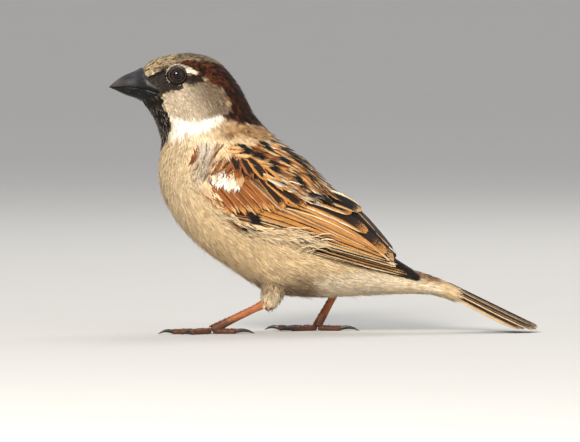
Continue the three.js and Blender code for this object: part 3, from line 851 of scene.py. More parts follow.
def skinPaint():
    paint = Paint("skin", 0.6, Specular_IOR_Level=0.35)
    fine = paint.noise(1500.0)
    shade = paint.noise(900.0) * 0.4 + 0.6
    shade = paint.node("CombineColor", None, {0: shade, 1: shade, 2: shade})
    covered = paint.mix(1.0, paint.held("inner", "Color"), shade, "MULTIPLY")
    _, _, height = paint.parts(paint.place())
    dark = paint.noise(500.0, 4.0) * 0.9 - 0.2
    # bare skin darker near the ground: partly the toes' own darker brown, partly painted shade
    low = paint.steps(height, 0.007, 0.001) * 0.8
    bareSkin = paint.mix(paint.steps(dark + low, 0.1, 0.9), rgba(colours["leg"]), rgba(colours["legDark"]))
    bare = paint.held("bare", "Fac")
    paint.set("Base Color", paint.mix(bare, covered, bareSkin))
    paint.set("Roughness", 0.85 - bare * 0.4)
    spots = {"Vector": paint.place(), "Scale": 1700.0}
    grains = paint.node("TexVoronoi", dict(feature="DISTANCE_TO_EDGE"), spots)
    paint.bump(paint.steps(grains, 0.0, 0.25) * bare + fine * 0.4, 0.5, 0.00012)
    return paint.material


legNodes = [f"{side}_{part}" for side in ("left", "right")
            for part in ("thigh", "tarsus", "toe_middle", "toe_inner", "toe_outer", "toe_hind")]
finishPiece(makeSkin(), skinPaint(), "plumage_body", "head", "neck", "trunk", *legNodes)


# Small hard things are strewn over marked spots by Geometry Nodes.
def strewTree(name, kind):
    tree = bpy.data.node_groups.new(name, "GeometryNodeTree")
    face = tree.interface
    face.new_socket("Geometry", in_out="INPUT", socket_type="NodeSocketGeometry")
    inputs = dict(Int=("Sides", "Rings", "Seed"), Float=("Radius", "Tip Radius", "Jitter"),
                  Material=("Material",))
    for socketType, titles in inputs.items():
        for title in titles:
            face.new_socket(title, in_out="INPUT", socket_type="NodeSocket" + socketType)
    face.new_socket("Geometry", in_out="OUTPUT", socket_type="NodeSocketGeometry")

    def add(nodeType, settings=None, values=None):
        made = tree.nodes.new(nodeType)
        for key, value in (settings or {}).items():
            setattr(made, key, value)
        for key, value in (values or {}).items():
            if isinstance(value, bpy.types.NodeSocket):
                tree.links.new(value, made.inputs[key])
            else:
                made.inputs[key].default_value = value
        return made

    def named(title):
        settings = dict(data_type="FLOAT_VECTOR")
        return add("GeometryNodeInputNamedAttribute", settings, {"Name": title}).outputs[0]

    given = add("NodeGroupInput").outputs
    if kind == "bead":
        shape = add("GeometryNodeMeshUVSphere", None, {
            "Segments": given["Sides"], "Rings": given["Rings"], "Radius": given["Radius"]})
    else:
        shape = add("GeometryNodeMeshCone", None, {
            "Vertices": given["Sides"], "Side Segments": given["Rings"], "Radius Bottom": given["Radius"],
            "Radius Top": given["Tip Radius"], "Depth": 1.0})
    turnOut = add("FunctionNodeAlignRotationToVector", dict(axis="Z"), {"Vector": named("out")})
    turnOn = add("FunctionNodeAlignRotationToVector", dict(axis="X", pivot_axis="Z"),
                 {"Rotation": turnOut.outputs[0], "Vector": named("along")})
    grow = add("FunctionNodeRandomValue", dict(data_type="FLOAT"), {"Seed": given["Seed"]})
    less = add("ShaderNodeMath", dict(operation="SUBTRACT"), {0: 1.0, 1: given["Jitter"]})
    more = add("ShaderNodeMath", dict(operation="ADD"), {0: 1.0, 1: given["Jitter"]})
    floatIn = [s for s in grow.inputs if s.name in ("Min", "Max") and s.type == "VALUE" and s.enabled]
    tree.links.new(less.outputs[0], floatIn[0])
    tree.links.new(more.outputs[0], floatIn[1])
    change = [s for s in grow.outputs if s.enabled][0]
    size = add("ShaderNodeVectorMath", dict(operation="SCALE"), {0: named("size"), "Scale": change})
    put = add("GeometryNodeInstanceOnPoints", None, {
        "Points": given["Geometry"], "Instance": shape.outputs[0],
        "Rotation": turnOn.outputs[0], "Scale": size.outputs[0]})
    real = add("GeometryNodeRealizeInstances", None, {"Geometry": put.outputs[0]})
    smooth = add("GeometryNodeSetShadeSmooth", None, {"Geometry": real.outputs[0]})
    painted = add("GeometryNodeSetMaterial", None, {
        "Geometry": smooth.outputs[0], "Material": given["Material"]})
    out = add("NodeGroupOutput")
    tree.links.new(painted.outputs[0], out.inputs[0])
    return tree


strewTrees = dict(bead=strewTree("strew beads", "bead"), thorn=strewTree("strew thorns", "thorn"))


def strew(name, kind, spots, material, sides=8, rings=5, jitter=0.1, seed=1):
    # each spot is a point, its way out, its way along and its half sizes along, across and out
    table = np.array(spots, float)
    mesh = bpy.data.meshes.new(name)
    mesh.from_pydata([tuple(p) for p in table[:, 0] * mm], [], [])
    for key, column, scale in (("out", 1, 1), ("along", 2, 1), ("size", 3, mm)):
        hold(mesh, key, "FLOAT_VECTOR", table[:, column] * scale)
    thing = placed(name, mesh)
    tree = strewTrees[kind]
    nodes = thing.modifiers.new("strew", "NODES")
    nodes.node_group = tree
    wanted = {"Sides": sides, "Rings": rings, "Radius": 1.0, "Tip Radius": 0.15, "Jitter": jitter,
              "Seed": seed, "Material": material}
    for item in tree.interface.items_tree:
        if item.in_out == "INPUT" and item.name in wanted:
            nodes[item.identifier] = wanted[item.name]
    result = thing.data = settled(thing)
    for key in ("out", "along", "size"):
        held = result.attributes.get(key)
        if held:
            result.attributes.remove(held)
    if not result.materials:
        result.materials.append(material)
    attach(thing, "root")
    return thing


def hornPaint(name, base, dark, pale, scale=700.0, roughness=0.38, groundShade=0.0):
    paint = Paint(name, roughness, Specular_IOR_Level=0.5, Coat_Weight=0.15, Coat_Roughness=0.3)
    x, y, z = paint.parts(paint.place())
    stretched = paint.node("CombineXYZ", None, {0: x * 0.35, 1: y, 2: z})
    grain = paint.noise(scale, 4.0, stretched)
    wear = paint.noise(scale * 0.25, 3.0)
    colour = paint.mix(paint.steps(grain, 0.3, 0.7), rgba(dark), rgba(base))
    colour = paint.mix(paint.steps(wear, 0.55, 0.8) * 0.5, colour, rgba(pale))
    if groundShade:  # darker near the ground: painted shade over the toes, on top of their own darker brown
        colour = paint.mix(paint.steps(z, 0.009, 0.0005) * groundShade, colour, rgba(dark * 0.6))
    paint.set("Base Color", colour)
    paint.set("Roughness", roughness + grain * 0.15)
    paint.bump(grain, 0.25, 0.00012)
    return paint.material


print("legs and claws")
hornTones = dict(
    scutes=(tone(168, 98, 52), tone(88, 50, 30), tone(214, 154, 106)),
    claws=(tone(48, 38, 32), tone(24, 19, 17), tone(92, 76, 64)),
    eyeRing=(tone(206, 196, 182), tone(140, 128, 114), tone(236, 230, 218)),
    bristles=(tone(56, 42, 34), tone(26, 20, 18), tone(110, 88, 70)),
)
# the scutes darken near the ground, partly the toes' own darker brown and partly painted shade
scalePaint = hornPaint("scutes", *hornTones["scutes"], 900.0, 0.34, 0.75)
clawPaint = hornPaint("claws", *hornTones["claws"], 900.0, 0.3)
scutes = dict(
    shank=dict(start=0.06, run=0.9, sink=0.12, tilt=0.12, long=0.62, wide=0.92, count=13),
    toe=dict(start=0.08, run=0.88, sink=0.1, tilt=0.15, long=0.6, wide=0.86),
    thick=0.3,
)


def scaleRow(form, count, path, length, way, out, fore, wide, girth=1.0):
    for k in range(count):
        share = np.array(form["start"] + form["run"] * k / (count - 1))
        spot = through(path, share) + out * (through(fore, share) * girth - form["sink"])
        half = (length / count * form["long"], through(wide, share) * girth * form["wide"], scutes["thick"])
        yield spot, out + way * form["tilt"], way, half


def legScales():
    spots = []
    up, ahead = np.array([0, 0, 1.0]), np.array([-1.0, 0, 0.35])
    for leg in (legs["left"], legs["right"]):
        _, path = tarsusPlace(leg)
        length = np.linalg.norm(path[-1] - path[0])
        way = unit(path[-1] - path[0])
        front = unit(ahead - way * (way @ ahead))
        spots += scaleRow(scutes["shank"], scutes["shank"]["count"], path, length, way, front,
                          legs["fore"], legs["wide"])
        for toe in toes.values():
            pads = toeForm["pads"]
            spots += scaleRow(scutes["toe"], toe["scales"], toePath(leg, toe), toe["length"],
                              toeWay(leg, toe), up, pads, pads, toe["girth"])
    return strew("scutes", "bead", spots, scalePaint, 10, 6, 0.06)


legScales()


def makeClaw(sideName, leg, name, toe):
    way = toeWay(leg, toe)
    deep = np.array([0.62, 0.6, 0.5, 0.34, 0.08]) * toe["girth"] / 0.8
    wide = np.array([0.42, 0.4, 0.33, 0.22, 0.06]) * toe["girth"] / 0.8
    place = limb(clawPath(leg, toe), wide, deep, (-way[1], way[0], 0))
    points, quads, tris = tubeOf(place, 22, 14)
    points[:, 2] = np.maximum(points[:, 2], 0.02)
    claw = meshOf(f"{sideName}_claw_horn_{name}", points, quads, tris)
    finishPiece(claw, clawPaint, "claw", f"{sideName}_claw_{name}")


for sideName in ("left", "right"):
    for name, toe in toes.items():
        makeClaw(sideName, legs[sideName], name, toe)

print("bill")
bill = dict(
    rows=44, columns=25, palate=9, until=5.4, sink=1.4, culmen=0.14,
    mouth=[
        (-67.8, 76.2), (-66.4, 76.45), (-64.0, 76.7), (-61.0, 76.75), (-58.0, 76.5), (-55.0, 76.1),
        (-53.0, 75.5), (-49.0, 73.9),
    ],
    edge=[
        (-57.1, 83.3), (-56.2, 80.8), (-54.9, 79.4), (-53.0, 77.7), (-51.6, 75.8), (-52.7, 73.9),
        (-55.2, 73.0), (-57.4, 72.0), (-90.0, 60.0), (-90.0, 95.0),
    ],
)


def makeBillHalf(name, upper):
    mouth = np.array(bill["mouth"])
    side = 1 if upper else -1
    start = 0.0 if upper else 0.42
    rings = []
    for n in start + (bill["until"] - start) * np.linspace(0, 1, bill["rows"]) ** 1.35:
        sweep = np.linspace(0, math.pi, 241)
        p = bodyPlace(np.full_like(sweep, n), sweep)
        over = p[:, 2] - np.interp(p[:, 0], mouth[:, 0], mouth[:, 1])
        crossing = np.argmax(over < 0) if (over < 0).any() else len(sweep) - 1
        f = over[crossing - 1] / max(over[crossing - 1] - over[crossing], 1e-6) if crossing else 0.0
        split = sweep[max(crossing - 1, 0)] + f * (sweep[1] - sweep[0])
        split = max(split, 0.25) if upper else min(split, math.pi - 0.25)
        if upper:
            angles = np.linspace(-split, split, bill["columns"])
        else:
            angles = np.linspace(split, 2 * math.pi - split, bill["columns"])
        number = np.full_like(angles, n)
        point, _, _, normal = lieOf(bodyPlace, number, angles)
        depth = bill["sink"] * ease(0.25, -1.1, insideOf(bill["edge"], point[:, 0], point[:, 2]))
        ridge = bill["culmen"] * np.exp(-(angles / 0.3) ** 2) * ease(0.3, 1.5, n) if upper else 0.0
        lip = 0.1 * (1 if upper else -1) * ease(0.0, 1.0, n)
        point = point + normal * (ridge - depth + lip)[..., None]
        inner = np.linspace(point[-1], point[0], bill["palate"] + 2)[1:-1]
        arch = np.sin(np.linspace(0, math.pi, bill["palate"] + 2)[1:-1])
        inner[:, 2] += side * arch * min(0.5, 0.14 * n)
        rings.append(np.concatenate([point, inner]))
    return meshOf(name, *closedTube(np.array(rings)))


def billPaint():
    paint = Paint("bill", 0.42, Specular_IOR_Level=0.22, Coat_Weight=0.03, Coat_Roughness=0.35)
    x, y, z = paint.parts(paint.place())
    stretched = paint.node("CombineXYZ", None, {0: x * 0.3, 1: y, 2: z})
    grain = paint.noise(900.0, 4.0, stretched)
    # paler and bluer along the culmen, partly the horn's own blue-grey and partly a painted highlight from
    # above, black along the cutting edges
    rise = paint.steps(z - x * 0.32, 0.0955, 0.1005)
    low = paint.steps(z, 0.0775, 0.0762)
    colour = paint.mix(rise, rgba(colours["horn"]), rgba(tone(54, 55, 60)))
    deep = paint.mix(0.4, colour, rgba(colours["hornDark"]))
    colour = paint.mix(paint.steps(grain, 0.35, 0.7), deep, colour)
    colour = paint.mix(low, colour, rgba(colours["hornDark"] * 0.6))
    tip = paint.steps(x, -0.0615, -0.0655) * paint.steps(z, 0.0755, 0.0775)
    colour = paint.mix(tip * 0.22, colour, rgba(colours["hornPale"]))
    # pale flecks over the horn: painted highlights
    highlightFlecks = paint.noise(2400.0, 2.0, paint.node("CombineXYZ", None, {0: x + z * 0.5, 1: y, 2: z * 0.3}))
    colour = paint.mix(paint.steps(highlightFlecks, 0.66, 0.74) * 0.6, colour, rgba(colours["hornPale"]))
    cut = paint.maths("ABSOLUTE", z - 0.0765 - paint.maths("MAXIMUM", x + 0.058, 0.0) * -0.12)
    colour = paint.mix(1 - paint.steps(cut, 0.0001, 0.0005), colour, rgba(tone(12, 11, 11)))
    paint.set("Base Color", colour)
    paint.set("Roughness", grain * 0.2 + 0.3)
    paint.bump(grain, 0.3, 0.0001)
    return paint.material


hornOfBill = billPaint()
finishPiece(makeBillHalf("bill_upper_horn", True), hornOfBill, "bill", "bill_upper")
finishPiece(makeBillHalf("bill_lower_horn", False), hornOfBill, "bill", "bill_lower")

print("eyes")


def eyePaint():
    paint = Paint("eye", 0.08, Specular_IOR_Level=0.22, Coat_Weight=0.12, Coat_Roughness=0.02)
    x, _, z = paint.parts(paint.place())
    dx, dz = x - eye["x"] * mm, z - eye["z"] * mm
    away = (dx * dx + dz * dz) ** 0.5 / mm
    streaks = paint.noise(2600.0, 3.0)
    iris = paint.mix(streaks, rgba(tone(20, 12, 8)), rgba(tone(58, 35, 22)))
    colour = paint.mix(paint.steps(away + streaks * 0.1, eye["pupil"] - 0.06, eye["pupil"] + 0.1),
                       rgba(tone(4, 3, 3)), iris)
    colour = paint.mix(paint.steps(away, eye["iris"], eye["iris"] + 0.25), colour, rgba(tone(10, 8, 7)))
    paint.set("Base Color", colour)
    return paint.material


def makeEye(sideName, side):
    rows, columns = 26, 40
    a = np.linspace(0.02, math.pi - 0.02, rows)[:, None]
    b = fullTurn(columns)[None]
    reach = eye["radius"] - eye["bulge"] + eye["bulge"] * np.exp(-(a / 0.5) ** 2)
    x = eye["x"] + reach * np.sin(a) * np.cos(b)
    y = side * (eye["y"] + reach * np.cos(a) + 0 * b)
    z = eye["z"] - side * reach * np.sin(a) * np.sin(b)
    ball = meshOf(f"{sideName}_eyeball", *closedTube(np.stack([x, y, z], -1)))
    return finishPiece(ball, eyeOfGlass, "eye", f"{sideName}_eye")


def lidPaint():
    paint = Paint("lids", 0.55, Specular_IOR_Level=0.4)
    rough = paint.noise(2200.0, 4.0)
    paint.set("Base Color", paint.mix(rough, rgba(tone(16, 13, 12)), rgba(tone(60, 52, 46))))
    paint.bump(rough, 0.6, 0.00008)
    return paint.material


def lidSpot(turn, out, side):  # a point round the eye, out beyond the opening by some millimetres
    wide, high = eye["opening"]
    x = (wide + out) * np.cos(turn)
    z = (high + out) * np.sin(turn)
    # corners of the eye are drawn out a little, and lie lower to the front
    x = x * (1 + 0.04 * np.cos(turn) ** 8)
    reach = np.sqrt(np.maximum(eye["radius"] ** 2 - x * x - z * z, 0.3))
    return np.stack([eye["x"] + x, side * (eye["y"] + reach), eye["z"] + z], -1)


def makeLids(sideName, side):
    columns, ring = 64, 12
    turn = fullTurn(columns)
    rows = []
    for k in range(ring):
        about = 2 * math.pi * k / ring
        puff = eye["lid"] * (1 + 0.14 * np.sin(turn * 17 + 1) * np.sin(turn * 5))
        out = 0.28 - 0.34 * math.cos(about)
        lifted = lidSpot(turn, out, side)
        lifted[:, 1] += side * (0.12 + puff * math.sin(about) - 0.25 * out)
        rows.append(lifted)
    points = np.stack(rows, 1).reshape(-1, 3)
    r, c = np.meshgrid(np.arange(columns), np.arange(ring), indexing="ij")
    after, beside = (r + 1) % columns, (c + 1) % ring
    quads = np.stack([r * ring + c, after * ring + c, after * ring + beside, r * ring + beside], -1)
    quads = quads.reshape(-1, 4)
    if side > 0:
        quads = quads[:, ::-1]
    rim = meshOf(f"{sideName}_lids", points, quads)
    return finishPiece(rim, lidOfSkin, "plumage_head")


def eyeBeads():
    spots = []
    for side in (-1, 1):
        count = 40
        for k in range(count):
            turn = 2 * math.pi * (k + 0.5) / count
            lit = 0.5 + 0.5 * math.cos(turn - 2.4)
            if 0.2 < turn < 0.6 or math.sin(k * 7.3) > 0.9:
                continue
            spot = lidSpot(np.array(turn), 0.7, side)
            ahead = unit(lidSpot(np.array(turn + 0.05), 0.7, side) - spot)
            out = unit(spot - np.array([eye["x"], side * eye["y"], eye["z"]]))
            spots.append((spot + out * 0.42, out, ahead, (0.24, 0.15 + 0.05 * lit, 0.16)))
    return strew("eye_ring", "bead", spots, ringPaint, 8, 5, 0.25, 4)


ringPaint = hornPaint("eye ring", *hornTones["eyeRing"], 1800.0, 0.6)
eyeOfGlass, lidOfSkin = eyePaint(), lidPaint()
for sideName, side in (("left", -1), ("right", 1)):
    makeEye(sideName, side)
    makeLids(sideName, side)
eyeBeads()

print("coat")
plumePaint = featherPaint("plumes", slant=3.4, period=0.36, contrast=0.62)
down = softVane(9, 3, 0.55)
fine = softVane(5, 2, 0.5)
wisp = softVane(1, 4, 0.6)
stiff = softVane(9, 6, 0.74)


class Sheet:  # heights of a folded wing's outer face, ready over a grid in the side view
    def __init__(self, form, xs=(-48.0, 38.0), zs=(12.0, 68.0), step=0.5):
        self.x0, self.z0, self.step = xs[0], zs[0], step
        x, z = np.meshgrid(np.arange(xs[0], xs[1], step), np.arange(zs[0], zs[1], step), indexing="ij")
        self.y, self.s, self.t = sheetHeight(form, x, z)

    def at(self, x, z):
        gx = np.clip((x - self.x0) / self.step, 0, self.y.shape[0] - 1.001)
        gz = np.clip((z - self.z0) / self.step, 0, self.y.shape[1] - 1.001)
        i, j = gx.astype(int), gz.astype(int)
        f, g = gx - i, gz - j
        return [k[i, j] * (1 - f) * (1 - g) + k[i + 1, j] * f * (1 - g) + k[i, j + 1] * (1 - f) * g
                + k[i + 1, j + 1] * f * g for k in (self.y, self.s, self.t)]


wingSheet, primarySheet = Sheet(wing), Sheet(primary)
wingOutline = [(p[0], p[2]) for p in wing["upper"]] + [(p[0], p[2]) for p in wing["lower"][::-1]]


def underWing(p):  # true where the folded wing hides the body
    x = p[:, 0]
    deep = insideOf(wingOutline, x, p[:, 2])
    least = 0.4 + 1.6 * ease(-20.0, -12.0, x) + 2.2 * ease(-34.0, -38.0, x)
    return (deep > least) & (np.abs(p[:, 1]) > 2.5)


def overWing(extra, until=60.0):  # lifts what reaches over the folded wing clear of it, in front of until
    def lift(points, u):
        y, s, t = wingSheet.at(points[..., 0], points[..., 2])
        side = np.where(points[..., 1] < 0, -1.0, 1.0)
        share = ease(-0.06, 0.02, s) * ease(1.04, 0.98, s) * ease(-0.2, 0.02, t) * ease(1.15, 0.98, t)
        share = share * ease(2.0, 4.0, np.abs(points[..., 1])) * ease(until + 3, until - 3, points[..., 0])
        lack = np.maximum(y + extra * u - np.abs(points[..., 1]), 0) * share
        points = points.copy()
        points[..., 1] += side * lack
        return points
    return lift


def tuckUnder(points, start=-8.0):  # presses in what lies under the flight feathers behind start
    points = points.copy()
    for sheet, room in ((wingSheet, 0.9), (primarySheet, 0.7)):
        y, s, t = sheet.at(points[..., 0], points[..., 2])
        side = np.where(points[..., 1] < 0, -1.0, 1.0)
        share = ease(-0.05, 0.02, s) * ease(1.08, 1.0, s) * ease(-0.15, 0.05, t) * ease(1.12, 0.98, t)
        share = share * ease(start, start + 4, points[..., 0]) * ease(1.5, 3.0, np.abs(points[..., 1]))
        points[..., 1] -= side * np.maximum(np.abs(points[..., 1]) - (y - room), 0) * share
    return points


def overThigh(points, u, low=12.0):  # the body's feathers drape over the tops of the thighs, above low
    points = points.copy()
    for leg in (legs["left"], legs["right"]):
        path = np.array(leg["thigh"])[::-1]
        x, y, z = points[..., 0], points[..., 1], points[..., 2]
        middle = [np.interp(z, path[:, 2], path[:, k]) for k in (0, 1)]
        half = np.interp(z, path[:, 2], leg["half"][::-1]) + 0.25
        off = np.abs(x - middle[0])
        face = middle[1] + np.sqrt(np.maximum(half * half - off * off, 0)) + 0.35 * u
        high = path[-1, 2]
        share = ease(half, half * 0.8, off) * ease(low, low + 2, z) * ease(high + 4, high + 1, z)
        share = share * ease(face - 4.5, face - 2.0, y * leg["side"])  # not those between the legs
        points[..., 1] += leg["side"] * np.maximum(face - np.abs(y), 0) * share
    return points


def flankLay(points, u):
    return overThigh(tuckUnder(overWing(0.9, -7.0)(points, u)), u)


coats = dict(
    head=dict(span=(3.6, 7.4), gap=0.6, length=2.5, width=0.6, vane=fine),
    throat=dict(span=(7.2, 10.7), gap=0.85, length=4.6, width=1.0, vane=fine),
    body=dict(span=(9.3, 18.2), gap=1.3, length=7.4, width=1.9, vane=down),
)


def onBack(a, b):  # where the lanes of the mantle lie
    turn = np.abs(np.degrees(np.mod(b + math.pi, 2 * math.pi) - math.pi))
    return (turn < 80 * (1 - 0.075 * (a - 10))) & (a > 9.5) & (a < 15.3)


def makeCoat(name, seed, keep=None, heading=None, pattern=None, **laying):
    size = coats[name]
    dice = np.random.default_rng(seed)
    a, b = scatter(bodyPlace, size["span"], (-math.pi, math.pi), size["gap"], dice, keep)
    count = len(a)
    depth = through(body["coat"], a / bodyLast)
    length = size["length"] * dice.uniform(0.85, 1.15, count)
    width = size["width"] * dice.uniform(0.85, 1.15, count)
    turn = dice.normal(0, 0.1, count)
    if heading is not None:
        turn = turn + heading(bodyPlace(a, b))
    print("  ", name, count)
    return layCoat("coat_" + name, bodyPlace, size["vane"], a, b, turn, length, width, depth,
                   pattern or plumage, dice, **laying)


def offBill(a, b, p):
    offEye = np.hypot(p[:, 0] - eye["x"], p[:, 2] - eye["z"]) > 2.9
    return (insideOf(bill["edge"], p[:, 0], p[:, 2]) < 0.1) & offEye


headCoat = makeCoat("head", 11, offBill)
throatCoat = makeCoat("throat", 12, lambda a, b, p: ~onBack(a, b), over=overWing(0.5))
finishPiece(headCoat, plumePaint, "plumage_head")
finishPiece(throatCoat, plumePaint, "plumage_neck")


def flankHeading(p):  # feathers beside the wing's lower edge turn up over it
    x, y, z = p.T
    near = ease(-6.0, -1.0, insideOf(wingOutline, x, z)) * ease(-22.0, -15.0, x) * ease(-4.0, -8.0, x)
    return -near * 0.55 * np.sign(y) * ease(8.0, 12.0, np.abs(y))


inTheOpen = lambda a, b, p: ~underWing(p) & ~onBack(a, b)
bodyCoat = makeCoat("body", 13, inTheOpen, flankHeading, over=flankLay)
finishPiece(bodyCoat, plumePaint, "plumage_body")

# Lanes of feathers down the back, each a path in the side view or a turn from the ridge.
mantle = dict(
    gap=2.3, length=11.5, ridgeBend=0.075,
    lanes=[
        dict(
            turn=0, first=9.3, last=15.6, inner="brown", rim="sand", streak="umber", at=0.0, half=0.25,
            width=1.6,
        ),
        dict(
            turn=9, first=9.3, last=15.6, inner="sand", rim="straw", streak="black", at=0.1, half=0.3,
            width=1.6,
        ),
        dict(
            path=[(-22.4, 54.5), (-16.8, 50.2), (-10.5, 47.0), (-5.5, 44.8)], inner="ash", rim="straw",
            streak="umber", at=0.0, half=0.2, width=1.5,
        ),
        dict(
            path=[(-31.8, 58.6), (-26.2, 57.0), (-21.2, 53.6), (-15.2, 49.2), (-8.0, 45.2)], inner="sand",
            rim="gold", streak="rust", at=0.2, half=0.1, width=1.5,
        ),
        dict(
            path=[(-30.5, 59.8), (-26.2, 58.3), (-22.4, 56.4), (-18.7, 53.0)], inner="black", rim="sand",
            streak="black", at=0.0, half=0.2, width=1.25,
        ),
        dict(
            path=[(-19.3, 53.9), (-14.9, 50.8), (-10.5, 47.7)], inner="rust", rim="sand", streak="brown",
            at=0.0, half=0.2, width=1.5,
        ),
        dict(
            path=[(-28.0, 60.2), (-21.5, 57.7), (-16.8, 54.2), (-12.1, 50.5), (-7.4, 47.0)], inner="rust",
            rim="gold", streak="chestnut", at=0.0, half=0.25, width=1.7,
        ),
        dict(
            path=[(-24.9, 61.1), (-18.4, 57.3), (-13.7, 53.6), (-8.7, 49.2)], inner="rust", rim="gold",
            streak="chestnut", at=-0.2, half=0.15, width=1.7,
        ),
        dict(
            path=[(-22.4, 62.0), (-17.4, 58.0), (-13.0, 53.6), (-8.0, 48.3), (-4.3, 45.5)], inner="black",
            rim="straw", streak="black", at=0.0, half=0.2, width=1.2,
        ),
        dict(
            path=[(-19.3, 62.0), (-13.7, 57.3), (-8.7, 52.3), (-3.7, 46.7)], inner="gold", rim="straw",
            streak="rust", at=0.1, half=0.2, width=1.6,
        ),
        dict(
            path=[(-16.8, 61.1), (-11.2, 56.7), (-6.2, 51.4), (-1.2, 44.8)], inner="black", rim="sand",
            streak="umber", at=0.0, half=0.2, width=1.1,
        ),
        dict(
            path=[(-15.2, 60.8), (-8.7, 56.1), (-3.0, 49.8), (2.6, 44.5)], inner="rust", rim="sand",
            streak="black", at=0.1, half=0.25, width=1.5,
        ),
    ],
)


def spotOn(x, z):  # section and turn of a place in the side view of the body, on its right side
    a, b = np.meshgrid(np.linspace(8.8, 16.4, 320), np.radians(np.linspace(1, 110, 300)), indexing="ij")
    known = bodyPlace(a, b).reshape(-1, 3)
    near = [((known[:, 0] - px) ** 2 + (known[:, 2] - pz) ** 2).argmin() for px, pz in zip(x, z)]
    return a.ravel()[near], b.ravel()[near]


def lanePath(lane, side):  # sections and turns along a lane
    if "path" in lane:
        x, z = through(lane["path"], np.linspace(0, 1, 60)).T
        run, turn = spotOn(x, z)
        smooth = np.array([0.1, 0.2, 0.4, 0.2, 0.1])
        inner = slice(2, -2)
        run, turn = run.copy(), turn.copy()
        run[inner], turn[inner] = np.convolve(run, smooth, "valid"), np.convolve(turn, smooth, "valid")
        return run, turn * side
    run = np.linspace(lane["first"], lane["last"], 60)
    return run, side * np.radians(lane["turn"] * (1 - mantle["ridgeBend"] * (run - 10)))


def makeMantle():
    dice = np.random.default_rng(14)
    a, b, heading, looks = [], [], [], []
    for lane in mantle["lanes"]:
        for side in ((-1, 1) if lane.get("turn") != 0 else (1,)):
            run, turn = lanePath(lane, side)
            path = bodyPlace(run, turn)
            far = np.concatenate([[0], np.cumsum(np.linalg.norm(np.diff(path, axis=0), axis=1))])
            gap = mantle["gap"] * (0.75 if lane["inner"] == "black" else 1.0)
            stops = np.arange(dice.uniform(0, 1.0), far[-1] - 4.0, gap)
            stops = stops + dice.normal(0, 0.2, len(stops))
            la, lb = np.interp(stops, far, run), np.interp(stops, far, turn)
            ahead = np.clip(stops + 4.0, 0, far[-1])
            on = lambda place: np.stack([np.interp(place, far, path[:, k]) for k in range(3)], -1)
            move = on(ahead) - on(ahead - 6.0)
            _, da, _, normal = lieOf(bodyPlace, la, lb)
            forward = unit(da)
            sideways = np.cross(normal, forward)
            a.append(la)
            b.append(lb)
            heading.append(np.arctan2((move * sideways).sum(1), (move * forward).sum(1)))
            looks += [(lane, side)] * len(stops)
    a, b, heading = np.concatenate(a), np.concatenate(b), np.concatenate(heading)
    count = len(a)
    order = np.argsort(a)
    a, b, heading, looks = a[order], b[order], heading[order], [looks[k] for k in order]

    def lanePlumage(p, dice):
        pick = lambda key: np.array([colours[lane[key]] for lane, _ in looks])
        m = dict(inner=pick("inner"), rim=pick("rim"), streak=pick("streak"))
        wild = dice.uniform(0, 1, (count, 1)) < 0.1
        m["inner"] = np.where(wild, colours["sand"], m["inner"])
        solid = np.array([lane["inner"] == "black" for lane, _ in looks])[:, None]
        m["bands"] = np.where(solid, [[0.88, 0.88, 2.0]], [[0.72, 0.72, 0.93]])
        m["bands"] = m["bands"] + dice.normal(0, 0.06, (count, 3))
        m["streaks"] = np.array([[lane["at"] * side, lane["half"]] for lane, side in looks])
        m["streaks"] = m["streaks"] + dice.normal(0, 0.06, (count, 2))
        front = ease(61.5, 65.0, p[:, 2])
        lay(m, front * 0.8, "sand", "buff", streak="brown")
        return m

    length = mantle["length"] * dice.uniform(0.85, 1.15, count) * (1 - 0.45 * ease(10.4, 9.4, a))
    width = np.array([lane["width"] for lane, _ in looks]) * dice.uniform(0.9, 1.12, count)
    depth = through(body["coat"], a / bodyLast)
    print("   mantle", count)
    lift = np.array([0.75 if lane["inner"] == "black" else 0.4 for lane, _ in looks])
    depth = np.where(lift > 0.5, depth * 0.5, depth)
    heading = heading + dice.normal(0, 0.04, count)
    return layCoat("coat_mantle", bodyPlace, stiff, a, b, heading, length, width, depth, lanePlumage, dice,
                   lift=lift, loose=0.5, over=overWing(1.8))


finishPiece(makeMantle(), plumePaint, "plumage_body")


# Soft lesser coverts over the bend of the wing.
shoulder = dict(
    spanAlong=(0.035, 0.42), spanDown=(-0.05, 0.62), gap=0.75, length=7.0, width=0.42, lift=1.25, bar=0.5,
)


def shoulderPlumage(p, dice):
    x, y, z = p.T
    c = colours
    m = plain(len(x), c["ash"], c["white"], 0.9, 2.0)
    strand = dice.uniform(0, 1, len(x))
    lay(m, 1.0 * (strand < 0.35), "smoke")
    warm = ease(-36.4, -33.0, x + ripple(p) * 0.7)
    lay(m, warm, "rust", "sand")
    lay(m, warm * (strand > 0.7), "umber", "brown")
    lay(m, warm * (strand < 0.2), "sand", "ash")
    bend = ease(-38.0, -39.6, x - 0.35 * (z - 55)) * ease(49.5, 51.5, z)
    top = ease(56.2, 57.6, z + ripple(p) * 0.5)
    lay(m, np.maximum(bend, top), c["chestnut"] * 0.5 + c["rust"] * 0.5, "rust")
    lay(m, ease(1.6, 1.0, np.hypot(x + 37.2, z - 58.2)), "black", "soot")
    return m


def barPlumage(p, dice):
    m = plain(len(p), colours["cream"], colours["white"], 0.5, 0.4)
    lay(m, 1.0 * (dice.uniform(0, 1, len(p)) < 0.5), "white")
    return m


def ripple(p):
    return waves(p, 2.5, 8)


def inBar(a, b, p):
    return insideOf(marks["bar"], p[:, 0], p[:, 2]) > 0


def onShoulder(a, b, p):  # at the top and the front of the wing, off the bar
    x, z = p[:, 0], p[:, 2]
    return (((z > 52.6) & (x < -25.5)) | ((x < -37.0) & (z > 46.5))) & ~inBar(a, b, p)


